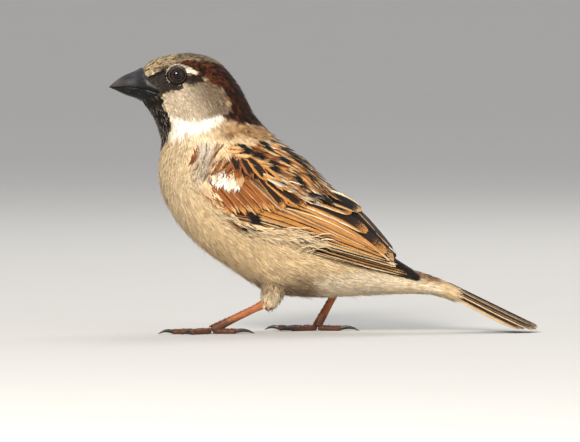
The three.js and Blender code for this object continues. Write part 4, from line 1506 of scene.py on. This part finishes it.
def makeShoulder(sideName, side, seed):
    dice = np.random.default_rng(seed)

    def place(a, b):
        return sheetPlace(wing, a, b if side > 0 else 1 - b) * np.array([1, side, 1])

    spanDown = shoulder["spanDown"] if side > 0 else tuple(1 - s for s in shoulder["spanDown"][::-1])
    for part, keep, closer, pattern in (("shoulder", onShoulder, 1.0, shoulderPlumage),
                                        ("bar", inBar, 0.75, barPlumage)):
        a, b = scatter(place, shoulder["spanAlong"], spanDown, shoulder["gap"] * closer, dice, keep)
        count = len(a)
        x = place(a, b)[:, 0]
        turn = np.interp(x, [-42, -38, -34, -29, -26], [1.25, 1.5, 1.65, 1.65, 1.2])
        size = 1.0
        if part == "bar":
            turn, size = 0 * turn + 1.0, shoulder["bar"]
        size = size * np.interp(x, [-42, -38], [0.6, 1.0])
        length = shoulder["length"] * size * dice.uniform(0.8, 1.2, count)
        width = shoulder["width"] * dice.uniform(0.85, 1.15, count)
        turn = side * (turn + dice.normal(0, 0.12, count))
        depth = np.full(count, -0.5)
        piece = layCoat(f"coat_{sideName}_{part}", place, fine, a, b, turn, length, width, depth, pattern,
                        dice, lift=shoulder["lift"], loose=1.5, spanA=(0.0, 0.5),
                        within=(-0.015, 0.7, -0.2, 1.2))
        finishPiece(piece, plumePaint, "plumage_wing")


makeShoulder("left", -1, 16)
makeShoulder("right", 1, 16)


def thighCoat(sideName, leg, seed):
    flip = np.array([1, leg["side"], 1])
    place = limb(np.array(leg["thigh"]) * flip, leg["half"], leg["half"], (0, 1, 0))
    dice = np.random.default_rng(seed)
    a, b = scatter(place, (0.05, 0.68), (-math.pi, math.pi), 0.7, dice)
    count = len(a)
    length, width = dice.uniform(2.2, 4.4, count), dice.uniform(0.35, 0.6, count)
    depth = np.full(count, legs["coat"])
    outward = np.sign(place(a, b)[:, 1] * leg["side"] - leg["thigh"][1][1])
    turn = -leg["side"] * outward * 0.8 * ease(0.5, 0.1, a)  # the upper ones lean back like the body's

    def thighPlumage(p, dice):
        m = plumage(p, dice)
        lay(m, ease(14.0, 10.0, p[:, 2]) * 0.8, "straw", "cream")
        return m

    turn = turn + dice.normal(0, 0.2, count)
    lift = 0.7 * dice.uniform(0, 1, count)
    return layCoat(f"coat_{sideName}_thigh", place, fine, a, b, turn, length, width, depth, thighPlumage,
                   dice, lift=lift, loose=1.6)


finishPiece(thighCoat("left", legs["left"], 21), plumePaint, "plumage_body")
finishPiece(thighCoat("right", legs["right"], 22), plumePaint, "plumage_body")

# Loose plumes over the wing's lower edge, and stray wisps under the belly.
fringe = dict(gap=0.5, width=0.14, front=3.4, long=11.0, brown=0.16)
stray = dict(count=260, width=0.09, length=(3.0, 6.5), lift=1.5)


def besideWing(a, b, p):  # a strip along the wing's lower edge
    x, z = p[:, 0], p[:, 2]
    deep = insideOf(wingOutline, x, z)
    low = z < 54 - 0.49 * (x + 42)
    return (deep > -3.4) & (deep < 0.4) & low & (x > -43) & (x < -4) & (np.abs(p[:, 1]) > 6)


def fringePlumage(p, dice):
    m = plumage(p, dice)
    strand = dice.uniform(0, 1, len(p))
    lay(m, 1.0 * (strand > 0.75), "straw", "straw")
    lay(m, (strand < fringe["brown"]) * ease(-38.0, -30.0, p[:, 0]), "smoke", "smoke")
    return m


def makeFringe():
    dice = np.random.default_rng(71)
    a, b = scatter(bodyPlace, (8.6, 15.5), (-math.pi, math.pi), fringe["gap"], dice, besideWing)
    late = ease(-24.0, -14.0, bodyPlace(a, b)[:, 0])
    kept = dice.uniform(0, 1, len(a)) > 0.5 * late  # sparse where they arch over the flight feathers
    a, b, late = a[kept], b[kept], late[kept]
    count = len(a)
    root = bodyPlace(a, b)
    up = -np.sign(root[:, 1])
    heading = up * (blend(0.35, 1.5, late) + dice.normal(0, 0.12, count))
    curl = -up * blend(0.1, 1.8, late)
    length = blend(fringe["front"], fringe["long"], late) * dice.uniform(0.7, 1.15, count)
    width = fringe["width"] * dice.uniform(0.7, 1.3, count)
    print("   fringe", count)
    return layCoat("coat_fringe", bodyPlace, wisp, a, b, heading, length, width, np.full(count, 0.5),
                   fringePlumage, dice, lift=0.3, loose=0.6, over=overWing(1.7), curl=curl)


def makeStrays():
    dice = np.random.default_rng(72)
    count = stray["count"]
    a = dice.uniform(9.5, 17.5, count)
    b = math.pi + dice.normal(0, 0.75, count)
    length = dice.uniform(*stray["length"], count)
    return layCoat("coat_strays", bodyPlace, wisp, a, b, dice.normal(0, 0.35, count), length,
                   np.full(count, stray["width"]), np.full(count, 0.2), plumage, dice,
                   lift=stray["lift"] * dice.uniform(0.2, 1.0, count), loose=1.5)


finishPiece(makeFringe(), plumePaint, "plumage_body")
finishPiece(makeStrays(), plumePaint, "plumage_body")

print("wings")
quill = dict(
    rows=15, columns=(-1.0, -0.8, -0.52, -0.24, -0.05, 0.05, 0.24, 0.52, 0.8, 1.0), thick=0.1, shaft=0.07,
)
# Each row of feathers has places of roots and tips in the side view, front or lower ones first.
# up and down are half widths, high is the height over the wing's face at root and tip.
# tilt lifts the lower edge over the next feather, bow bends the shaft, blunt squares the tip.
# bands say where the rim begins above, below and at the tip, streakAt the streak's place and half width.
wingRows = dict(
    primaries=dict(
        sheet="primary", count=6,
        roots=[(-4.9, 25.9), (-4.6, 26.8), (-4.0, 27.8), (-3.4, 28.9), (-2.8, 30.0)],
        tips=[(27.6, 17.4), (30.2, 16.9), (29.2, 18.0), (26.5, 19.6), (23.0, 21.4)],
        up=[1.1, 1.5, 1.9, 2.1], down=[0.8, 0.85, 0.9, 1.0], bow=0.0, high=(-0.2, 0.15), tilt=0.2,
        blunt=0.4, fray=0.002, inner=["umber"], rim=["buff", "gold", "buff"], darkFrom=0.86,
        streak=["black"], bands=(2.0, 0.1, 2.0), streakAt=(0.95, 0.3),
    ),
    secondaries=dict(
        count=9,
        roots=[(-25.0, 34.2), (-26.0, 35.8), (-25.6, 37.8), (-22.6, 40.6), (-17.0, 42.0)],
        tips=[(22.9, 21.4), (22.0, 22.3), (20.1, 23.3), (17.6, 25.2), (14.5, 27.3)], up=[2.4, 2.8],
        down=[1.3, 1.4, 1.6], bow=0.015, high=(-0.3, 0.3), tilt=0.28, blunt=0.8, fray=0.004, jitter=0.2,
        inner=["umber"] * 3 + ["sand"] * 2 + ["gold"] * 4,
        rim=["buff", "straw", "buff", "gold", "buff", "gold", "gold", "gold", "sand"],
        streak=["black"] * 3 + ["umber"] * 4 + ["brown"] * 2,
        bands=[(2.0, 0.1, 2.0)] * 3 + [(2.0, 0.78, 2.0)] * 6,
        streakAt=[(0.98, 0.2)] * 3 + [(0.5, 0.22)] * 2 + [(0.55, 0.16)] * 4,
    ),
    primaryCoverts=dict(
        count=5, roots=[(-29.9, 36.1), (-30.5, 37.3), (-31.2, 38.6)],
        tips=[(-23.0, 32.7), (-20.2, 33.0), (-19.3, 34.5), (-19.3, 36.1), (-20.5, 37.3)], up=[1.1, 1.1],
        down=[0.8, 0.8], bow=-0.02, high=(0.1, 0.8), tilt=0.25, blunt=0.5, fray=0.05, jitter=0.4,
        inner=["rust", "brown", "umber"], rim=["brown", "sand", "rust"], streak=["black"], darkFrom=0.7,
        bands=(2.0, 0.7, 2.0), streakAt=(0.2, 0.2),
    ),
    hindTertials=dict(
        count=4, roots=[(-0.5, 40.5), (0.7, 42.0), (2.0, 43.3), (3.2, 44.5)],
        tips=[(22.6, 24.0), (20.4, 26.2), (18.6, 28.4), (16.4, 31.2)], up=[1.2, 0.7], down=[2.2, 2.4],
        bow=[0.02, 0.0], high=(-0.3, 0.15), tilt=0.1, blunt=0.8, fray=0.002, jitter=0.1, inner=["black"],
        rim=["cream", "gold", "sand"], streak=["black"], bands=(0.72, 2.0, 2.0), streakAt=(0.0, -1.0),
    ),
    tertials=dict(
        count=5,
        roots=[(-14.0, 40.4), (-14.4, 42.0), (-14.2, 43.4), (-11.6, 44.2), (-6.8, 44.5)],
        tips=[(22.0, 23.0), (19.1, 25.2), (13.5, 31.7), (8.8, 37.3), (11.6, 38.3)],
        up=[2.0, 2.0, 2.0, 1.8, 2.0], down=[1.6, 1.9, 2.1, 1.8, 2.2],
        bow=[0.085, 0.075, 0.06, 0.05, 0.06], high=(-0.1, 0.8), tilt=0.3, blunt=0.7, fray=0.006,
        inner=["umber", "umber", "umber", "umber", "black"], rim=["sand", "gold", "gold", "gold", "sand"],
        streak=["cream"],
        bands=[
            (2.0, 0.62, 0.95), (2.0, 0.5, 0.93), (2.0, 0.5, 0.93), (2.0, 0.45, 0.93), (0.8, 0.72, 0.94),
        ],
        streakAt=[(0.97, 0.1), (0.1, -1.0), (0.97, 0.12), (0.97, 0.12), (-0.9, 0.1)],
    ),
    greaterCoverts=dict(
        count=12,
        roots=[
            (-39.3, 46.4), (-38.0, 47.3), (-36.2, 48.3), (-34.0, 48.9), (-31.8, 49.2), (-29.6, 49.2),
            (-27.4, 49.2), (-25.2, 49.2), (-22.7, 48.9), (-20.2, 48.9), (-18.0, 48.6), (-11.8, 47.0),
        ],
        tips=[
            (-30.9, 38.6), (-29.0, 38.0), (-26.8, 37.7), (-24.3, 37.7), (-21.8, 37.7), (-19.3, 38.0),
            (-16.8, 38.3), (-14.6, 38.6), (-12.7, 38.9), (-11.5, 39.5), (-6.5, 40.2), (-1.2, 41.1),
        ],
        up=[1.6] * 9 + [1.9, 2.3, 2.2], down=[1.1] * 9 + [1.4, 2.0, 1.8], bow=0.02, high=(0.0, 0.95),
        tilt=0.3, blunt=0.85, fray=0.05, jitter=0.3,
        inner=["rust"] * 8 + ["brown", "umber", "umber", "umber"],
        rim=["sand", "gold"] * 5 + ["gold", "cream"], streak=["chestnut"],
        bands=[
            (0.95, 0.84, 0.82),
        ] * 8 + [(0.95, 0.6, 0.88), (0.6, 0.8, 0.87), (0.9, 0.66, 0.92), (0.8, 0.8, 0.94)],
        streakAt=(-0.4, 0.12),
    ),
    medianCoverts=dict(
        count=12,
        roots=[
            (-35.9, 52.7), (-34.6, 53.0), (-33.4, 53.6), (-32.1, 53.9), (-30.9, 53.9), (-29.6, 53.9),
            (-28.4, 53.3), (-27.4, 52.7), (-29.9, 57.7), (-26.8, 57.0), (-23.4, 54.8), (-19.3, 52.0),
        ],
        tips=[
            (-34.3, 48.3), (-33.0, 47.3), (-31.5, 46.4), (-29.9, 45.8), (-28.7, 45.8), (-27.1, 45.5),
            (-25.9, 46.1), (-24.9, 46.7), (-26.5, 50.8), (-22.4, 48.9), (-17.7, 47.7), (-12.4, 45.2),
        ],
        up=[1.2] * 8 + [1.3, 1.6, 1.7, 1.5], down=[1.1] * 8 + [1.2, 1.5, 1.5, 1.3], bow=0.03,
        high=(0.3, 0.95), tilt=0.25, blunt=0.85, fray=0.07, jitter=0.3,
        inner=["brown"] * 4 + ["rust"] * 4 + ["umber"] * 3 + ["gold"],
        rim=[
            "sand", "cream", "cream", "white", "cream", "cream", "sand", "sand", "rust", "rust", "gold",
            "sand",
        ],
        streak=["rust"] * 9 + ["rust", "black", "umber"],
        bands=[(2.0, 2.0, 0.62)] * 8 + [(0.8, 0.5, 0.88)] * 3 + [(0.9, 0.6, 0.9)],
        streakAt=[(0.0, -1.0)] * 11 + [(0.0, 0.3)],
    ),
)


def rowOfQuills(row, dice):
    count = row["count"]
    at = np.linspace(0, 1, count)

    def names(key):  # one colour for each feather, or a run between a few
        found = np.array([colours[n] for n in (row[key] if len(row[key]) > 1 else row[key] * 2)])
        if len(found) == count:
            return found
        known = np.linspace(0, 1, len(found))
        return np.array([np.interp(at, known, found[:, k]) for k in range(3)]).T

    root, tip = through(row["roots"], at), through(row["tips"], at)
    jitter = row.get("jitter", 0.15)
    root = root + dice.normal(0, jitter, root.shape)
    tip = tip + dice.normal(0, jitter, tip.shape)
    same = lambda value: np.broadcast_to(np.asarray(value, float), (count, len(np.atleast_2d(value)[0])))
    return dict(
        root=root, tip=tip, up=through(row["up"], at), down=through(row["down"], at),
        bow=through(np.atleast_1d(row["bow"]), at), dark=np.full((count, 1), row.get("darkFrom", 3.0)),
        low=np.full(count, row["high"][0]), high=np.full(count, row["high"][1]),
        tilt=np.full(count, row["tilt"]), blunt=np.full(count, row["blunt"]),
        inner=names("inner"), rim=names("rim"), streak=names("streak"), fray=np.full(count, row["fray"]),
        bands=same(row["bands"]), streaks=same(row["streakAt"]),
    )


def slabFaces(rows, columns):  # faces of a thin closed slab: its outer grid, its inner grid and the rim
    front = gridFaces(rows, columns)
    count = rows * columns
    back = front[:, ::-1] + count
    index = np.arange(count).reshape(rows, columns)
    rim = np.concatenate([index[0, :-1], index[:-1, -1], index[-1, :0:-1], index[:0:-1, 0]])
    after = np.roll(rim, -1)
    edge = np.stack([rim, after, after + count, rim + count], -1)
    return np.concatenate([front, back, edge])


def packQuills(outer, inner, side, u, v, run, seed, length, half, looks, cells):
    # points, markings and map of a row of feathers; each gets a cell of the map
    count, grid = len(outer), u.size
    normal = unit(np.cross(np.gradient(outer, axis=1), np.gradient(outer, axis=2))) * side
    faces = slabFaces(*u.shape)
    faces = faces if side > 0 else faces[:, ::-1]
    shift = (np.arange(count) * grid * 2)[:, None, None]
    spread = lambda value: np.repeat(value, grid * 2, 0)

    def stacked(p, q):
        return np.concatenate([p.reshape(count, grid, 3), q.reshape(count, grid, 3)], 1).reshape(-1, 3)

    def both(value):
        whole = np.broadcast_to(value, (count,) + u.shape).reshape(count, 1, grid)
        return np.repeat(whole, 2, 1).ravel()

    across, start, total = cells
    order = start + np.arange(count)[:, None]
    wide, tall = 1.0 / across, 1.0 / math.ceil(total / across)
    layer = np.repeat(np.array([0.0, 0.5]), grid)
    besides = 0.42 * (np.tile(v.ravel(), 2) * 0.5 + 0.5)
    mapU = (order % across) * wide + wide * (0.06 + besides + layer)[None]
    mapV = (order // across) * tall + tall * (0.06 + 0.88 * np.tile(u.ravel(), 2))[None]
    return dict(
        points=stacked(outer, inner), quads=(faces[None] + shift).reshape(-1, 4),
        normals=stacked(normal, -normal), uv=np.stack([mapU.ravel() * 0.995, mapV.ravel()], -1),
        tints={key: spread(looks[key]) for key in ("inner", "rim", "streak")},
        vectors=dict(vane=np.stack([both(run), both(v), spread(seed)], -1), bands=spread(looks["bands"]),
                     streaks=spread(looks["streaks"]), size=spread(np.stack([length, half, seed], -1))),
    )


def layQuills(f, sheet, side, dice, cells):
    count = len(f["root"])
    u, v = np.meshgrid(np.linspace(0, 1, quill["rows"]) ** 0.85, np.array(quill["columns"]), indexing="ij")
    per = lambda value: value[:, None, None]
    along = f["tip"] - f["root"]
    length = np.linalg.norm(along, axis=1)
    blunt = per(f["blunt"])
    roundness = np.minimum(0.4, per((f["up"] + f["down"]) / 2 / length) * (1.6 - blunt))
    run = u * (1 - roundness * np.abs(v) ** 2.2 * u ** 5)
    run = run + dice.normal(0, 1.0, (count, 1, len(quill["columns"]))) * per(f["fray"]) * u ** 6
    dx, dz = along[:, 0] / length, along[:, 1] / length
    lift = 4 * run * (1 - run) * per(f["bow"] * length)
    slope = 4 * (1 - 2 * run) * per(f["bow"])
    # the way sideways, down or to the front, square to the bowed middle line
    px, pz = per(dz) + slope * per(dx), -per(dx) + slope * per(dz)
    norm = np.hypot(px, pz)
    profile = np.interp(u, [0, 0.12, 0.45, 0.75, 0.9, 1.0], [0.35, 0.7, 1.0, 1.0, 0.94, 0.78])
    profile = profile * (1 - (1 - blunt) * 0.5 * ease(0.45, 1.0, u))
    reach = v * np.where(v > 0, per(f["down"]), per(f["up"])) * profile
    reach = reach * (1 + dice.normal(0, 0.02, reach.shape) * (np.abs(v) > 0.9))
    x = per(f["root"][:, 0]) + per(along[:, 0]) * run - per(dz) * lift + px / norm * reach
    z = per(f["root"][:, 1]) + per(along[:, 1]) * run + per(dx) * lift + pz / norm * reach
    y, _, _ = sheet.at(x, z)
    h = per(f["low"]) + per(f["high"] - f["low"]) * u + per(f["tilt"]) * v - 0.1 * v * v
    h = h + quill["shaft"] * np.exp(-(v / 0.09) ** 2) * (1 - 0.6 * u)
    outer = np.stack([x, side * (y + h), z], -1)
    inner = np.stack([x, side * (y + h - quill["thick"]), z], -1)
    seed = dice.uniform(0, 1, count)
    tint = 1 + dice.normal(0, 0.05, (count, 1))
    looks = {key: np.clip(f[key] * tint, 0, 1) for key in ("inner", "rim", "streak")}
    looks.update(bands=f["bands"], streaks=np.concatenate([f["streaks"], f["dark"]], 1))
    return packQuills(outer, inner, side, u, v, run, seed, length, (f["up"] + f["down"]) / 2, looks, cells)


def joined(name, parts):
    starts = np.cumsum([0] + [len(part["points"]) for part in parts[:-1]])
    quads = np.concatenate([part["quads"] + start for part, start in zip(parts, starts)])
    merge = lambda found: np.concatenate(list(found))
    points, uv, normals = (merge(part[key] for part in parts) for key in ("points", "uv", "normals"))
    tints, vectors = ({key: merge(part[kind][key] for part in parts) for key in parts[0][kind]}
                      for kind in ("tints", "vectors"))
    return meshOf(name, points, quads, (), tints, vectors, uv, normals)


quillPaint = featherPaint("quills", slant=1.5, period=0.42, ragged=0.2, hair=3.0, contrast=0.55,
                          barbed=0.11)


def wingCore(sideName, side, form, name, node):  # the dull layer under the outer feathers
    a, b = np.meshgrid(np.linspace(0.02, 0.97, 30), np.linspace(0.04, 0.86, 10), indexing="ij")
    outer = sheetPlace(form, a, b)
    outer[..., 1] -= 0.9
    inner = outer.copy()
    inner[..., 1] -= 0.7
    points = np.concatenate([outer.reshape(-1, 3), inner.reshape(-1, 3)]) * [1, side, 1]
    faces = slabFaces(30, 10)
    faces = faces if side > 0 else faces[:, ::-1]
    core = meshOf(f"{sideName}_{name}", points, faces)
    return finishPiece(core, corePaint, "plumage_wing", *node)


def makeCorePaint():
    paint = Paint("under feathers", 0.85)
    rough = paint.noise(600.0, 4.0)
    paint.set("Base Color", paint.mix(rough, rgba(tone(26, 20, 17)), rgba(tone(66, 48, 36))))
    paint.bump(rough, 0.5, 0.0003)
    return paint.material


corePaint = makeCorePaint()


def makeWing(sideName, side, seed):
    total = sum(row["count"] for row in wingRows.values())
    parts, start = [], 0
    for k, row in enumerate(wingRows.values()):
        dice = np.random.default_rng(seed + k)
        f = rowOfQuills(row, dice)
        sheet = primarySheet if row.get("sheet") == "primary" else wingSheet
        parts.append(layQuills(f, sheet, side, dice, (7, start, total)))
        start += row["count"]
    finishPiece(joined(f"{sideName}_wing_feathers", parts), quillPaint, "plumage_wing")
    wingCore(sideName, side, wing, "wing_bed", (f"{sideName}_wing_coverts", f"{sideName}_wing_secondaries"))
    wingCore(sideName, side, primary, "primary_bed", (f"{sideName}_wing_primaries",))


makeWing("left", -1, 31)
makeWing("right", 1, 31)

print("tail")
tail = dict(
    ridge=[(36.3, 17.0), (67.7, 1.7)], edge=[(33.6, 12.4), (62.4, 0.4)], halfRoot=5.2, halfTip=8.4,
    roof=1.6, tips=[0.97, 0.985, 1.0, 0.985, 0.93, 0.9], spacing=[0.1, 0.2, 0.42, 0.54, 0.74, 0.84],
    rims=[0.9, 0.78, 0.92, 0.66, 0.86, 0.4], rows=18, start=-0.12, lowest=0.75, quill=34.0, half=2.4,
)


def tailPlace(share, lateral):
    ridge, edge = (blend(np.array(line[0]), np.array(line[1]), share[..., None])
                   for line in (tail["ridge"], tail["edge"]))
    drop = np.abs(lateral)[..., None] ** tail["roof"]
    line = ridge + (edge - ridge) * drop
    y = blend(tail["halfRoot"], tail["halfTip"], np.clip(share, 0, 1) ** 0.8) * lateral
    return np.stack([line[..., 0], y, line[..., 1]], -1)


def makeTail():
    dice = np.random.default_rng(41)
    u, v = np.meshgrid(np.linspace(0, 1, tail["rows"]) ** 0.9, np.array(quill["columns"]), indexing="ij")
    made, looks = [], []
    for side in (-1, 1):
        outward = v * side
        for k, reach in enumerate(tail["tips"]):
            profile = np.interp(u, [0, 0.3, 0.75, 0.93, 1.0], [0.45, 0.8, 1.0, 0.85, 0.45])
            run = u * (1 - 0.035 * np.abs(v) ** 2.2 * u ** 6)
            share = tail["start"] + (reach - tail["start"]) * run
            middle = blend(tail["spacing"][k] * 0.55, tail["spacing"][k], np.clip(share, 0, 1))
            lateral = side * middle + v * np.where(outward > 0, 0.15 + 0.004 * k, 0.24) * profile
            lateral = lateral + dice.normal(0, 0.004, lateral.shape) * (np.abs(v) > 0.9)
            # each lies a little under the one before, and the right middle one over the left
            h = 0.09 * (side > 0) * (k == 0) - blend(0.26, 0.14, run) * k
            h = h - 0.12 * outward * blend(1.0, 0.6, run)
            h = h + quill["shaft"] * np.exp(-(v / 0.09) ** 2) - 1.6 * ease(0.14, -0.12, share)
            outer = tailPlace(share, lateral)
            lowest = tail["lowest"] + 0.13 * (5 - k) + 0.05 * np.cos(v * 2)
            outer[..., 2] = np.maximum(outer[..., 2] + h, lowest)
            seed = dice.uniform()
            shade = 1 + dice.normal(0, 0.05)
            rim = tail["rims"][k]
            made.append(dict(
                outer=outer, inner=outer - np.array([0.02, 0, quill["thick"]]), run=run, seed=seed,
                length=tail["quill"] * reach, half=tail["half"]))
            looks.append(dict(
                inner=colours["umber"] * shade, rim=colours["buff" if k % 2 else "sand"] * shade,
                streak=colours["brown"], bands=[2.0, rim, 0.985] if side > 0 else [rim, 2.0, 0.985],
                streaks=[0.0, 0.03, 3.0]))
    made, looks = ({key: np.array([row[key] for row in rows]) for key in rows[0]} for rows in (made, looks))
    part = packQuills(made["outer"], made["inner"], 1, u, v, made["run"], made["seed"], made["length"],
                      made["half"], looks, (4, 0, 12))
    return joined("tail_feathers", [part])


finishPiece(makeTail(), quillPaint, "plumage_tail", "tail")

print("bristles")


def bristles():
    spots = []
    dice = np.random.default_rng(51)
    for side in (-1, 1):
        for k in range(26):
            share = k / 25
            x, z = through([(-57.2, 82.6), (-56.6, 80.8), (-55.2, 79.4), (-53.4, 77.6)], np.array(share))
            height = 2.2 + 2.2 * share + dice.normal(0, 0.15)
            start = np.array([x + 0.6 + dice.normal(0, 0.3), side * height, z + dice.normal(0, 0.3)])
            way = unit(np.array([-1.0, side * dice.uniform(0.15, 0.4), -0.35 + dice.normal(0, 0.2)]))
            long = dice.uniform(1.2, 2.6)
            spots.append((start + way * 0.2, way, np.array([0, 0, 1.0]), (0.05, 0.05, long)))
    return strew("bristles", "thorn", spots, bristlePaint, 5, 3, 0.2, 6)


bristlePaint = hornPaint("bristles", *hornTones["bristles"], 900.0, 0.6)
bristles()

print("stage")
stage = dict(floor=(196, 194, 190), flat=3000.0, bend=900.0, rim=420.0, turns=96)


def makeStage():  # a wide dish, so that the bird can be seen from all round
    rise = np.linspace(0, math.pi / 2, 9)
    reach = np.concatenate([[60.0, 600.0, 1600.0], stage["flat"] + stage["bend"] * np.sin(rise)])
    height = np.concatenate([[0.0, 0.0, 0.0], stage["rim"] * (1 - np.cos(rise))])
    turn = fullTurn(stage["turns"])
    rings = np.stack([np.outer(reach, np.cos(turn)), np.outer(reach, np.sin(turn)),
                      np.repeat(height[:, None], stage["turns"], 1)], -1)
    points = np.concatenate([rings.reshape(-1, 3), [(0.0, 0.0, 0.0)]])
    c = np.arange(stage["turns"])
    fan = np.stack([c, (c + 1) % stage["turns"], np.full_like(c, len(points) - 1)], -1)
    dish = meshOf("floor", points, gridFaces(len(reach), stage["turns"], True), fan)
    paint = Paint("floor", 0.85, Specular_IOR_Level=0.2)
    pale = tone(*stage["floor"])
    paint.set("Base Color", paint.mix(paint.noise(30.0), rgba(pale * 0.97), rgba(pale)))
    dish.data.materials.append(paint.material)


lights = dict(
    key=dict(place=(-520.0, -1350.0, 800.0), size=460.0, power=32.0, colour=(1.0, 0.95, 0.87)),
    fill=dict(place=(700.0, -1000.0, 300.0), size=900.0, power=4.0, colour=(0.93, 0.96, 1.0)),
    rim=dict(place=(300.0, 700.0, 900.0), size=700.0, power=5.0, colour=(1.0, 0.98, 0.95)),
)
sky = dict(power=1.0, spread=2.4, tint=(0.9, 0.93, 1.0), glow=0.36)


def makeLights():
    for name, light in lights.items():
        data = bpy.data.lights.new(name, "AREA")
        data.size = light["size"] * mm
        data.energy, data.color = light["power"], light["colour"]
        lamp = placed(name, data)
        lamp.location = Vector(light["place"]) * mm
        aim = Vector((-10.0, 0.0, 40.0)) * mm - lamp.location
        lamp.rotation_euler = aim.to_track_quat("-Z", "Y").to_euler()
    above = bpy.data.lights.new("sky", "SUN")
    above.energy, above.angle = sky["power"], sky["spread"]
    placed("sky", above)
    world = bpy.data.worlds.new("studio")
    bpy.context.scene.world = world
    world.use_nodes = True
    world.node_tree.nodes["Background"].inputs[0].default_value = (*sky["tint"], 1.0)
    world.node_tree.nodes["Background"].inputs[1].default_value = sky["glow"]


makeStage()
makeLights()
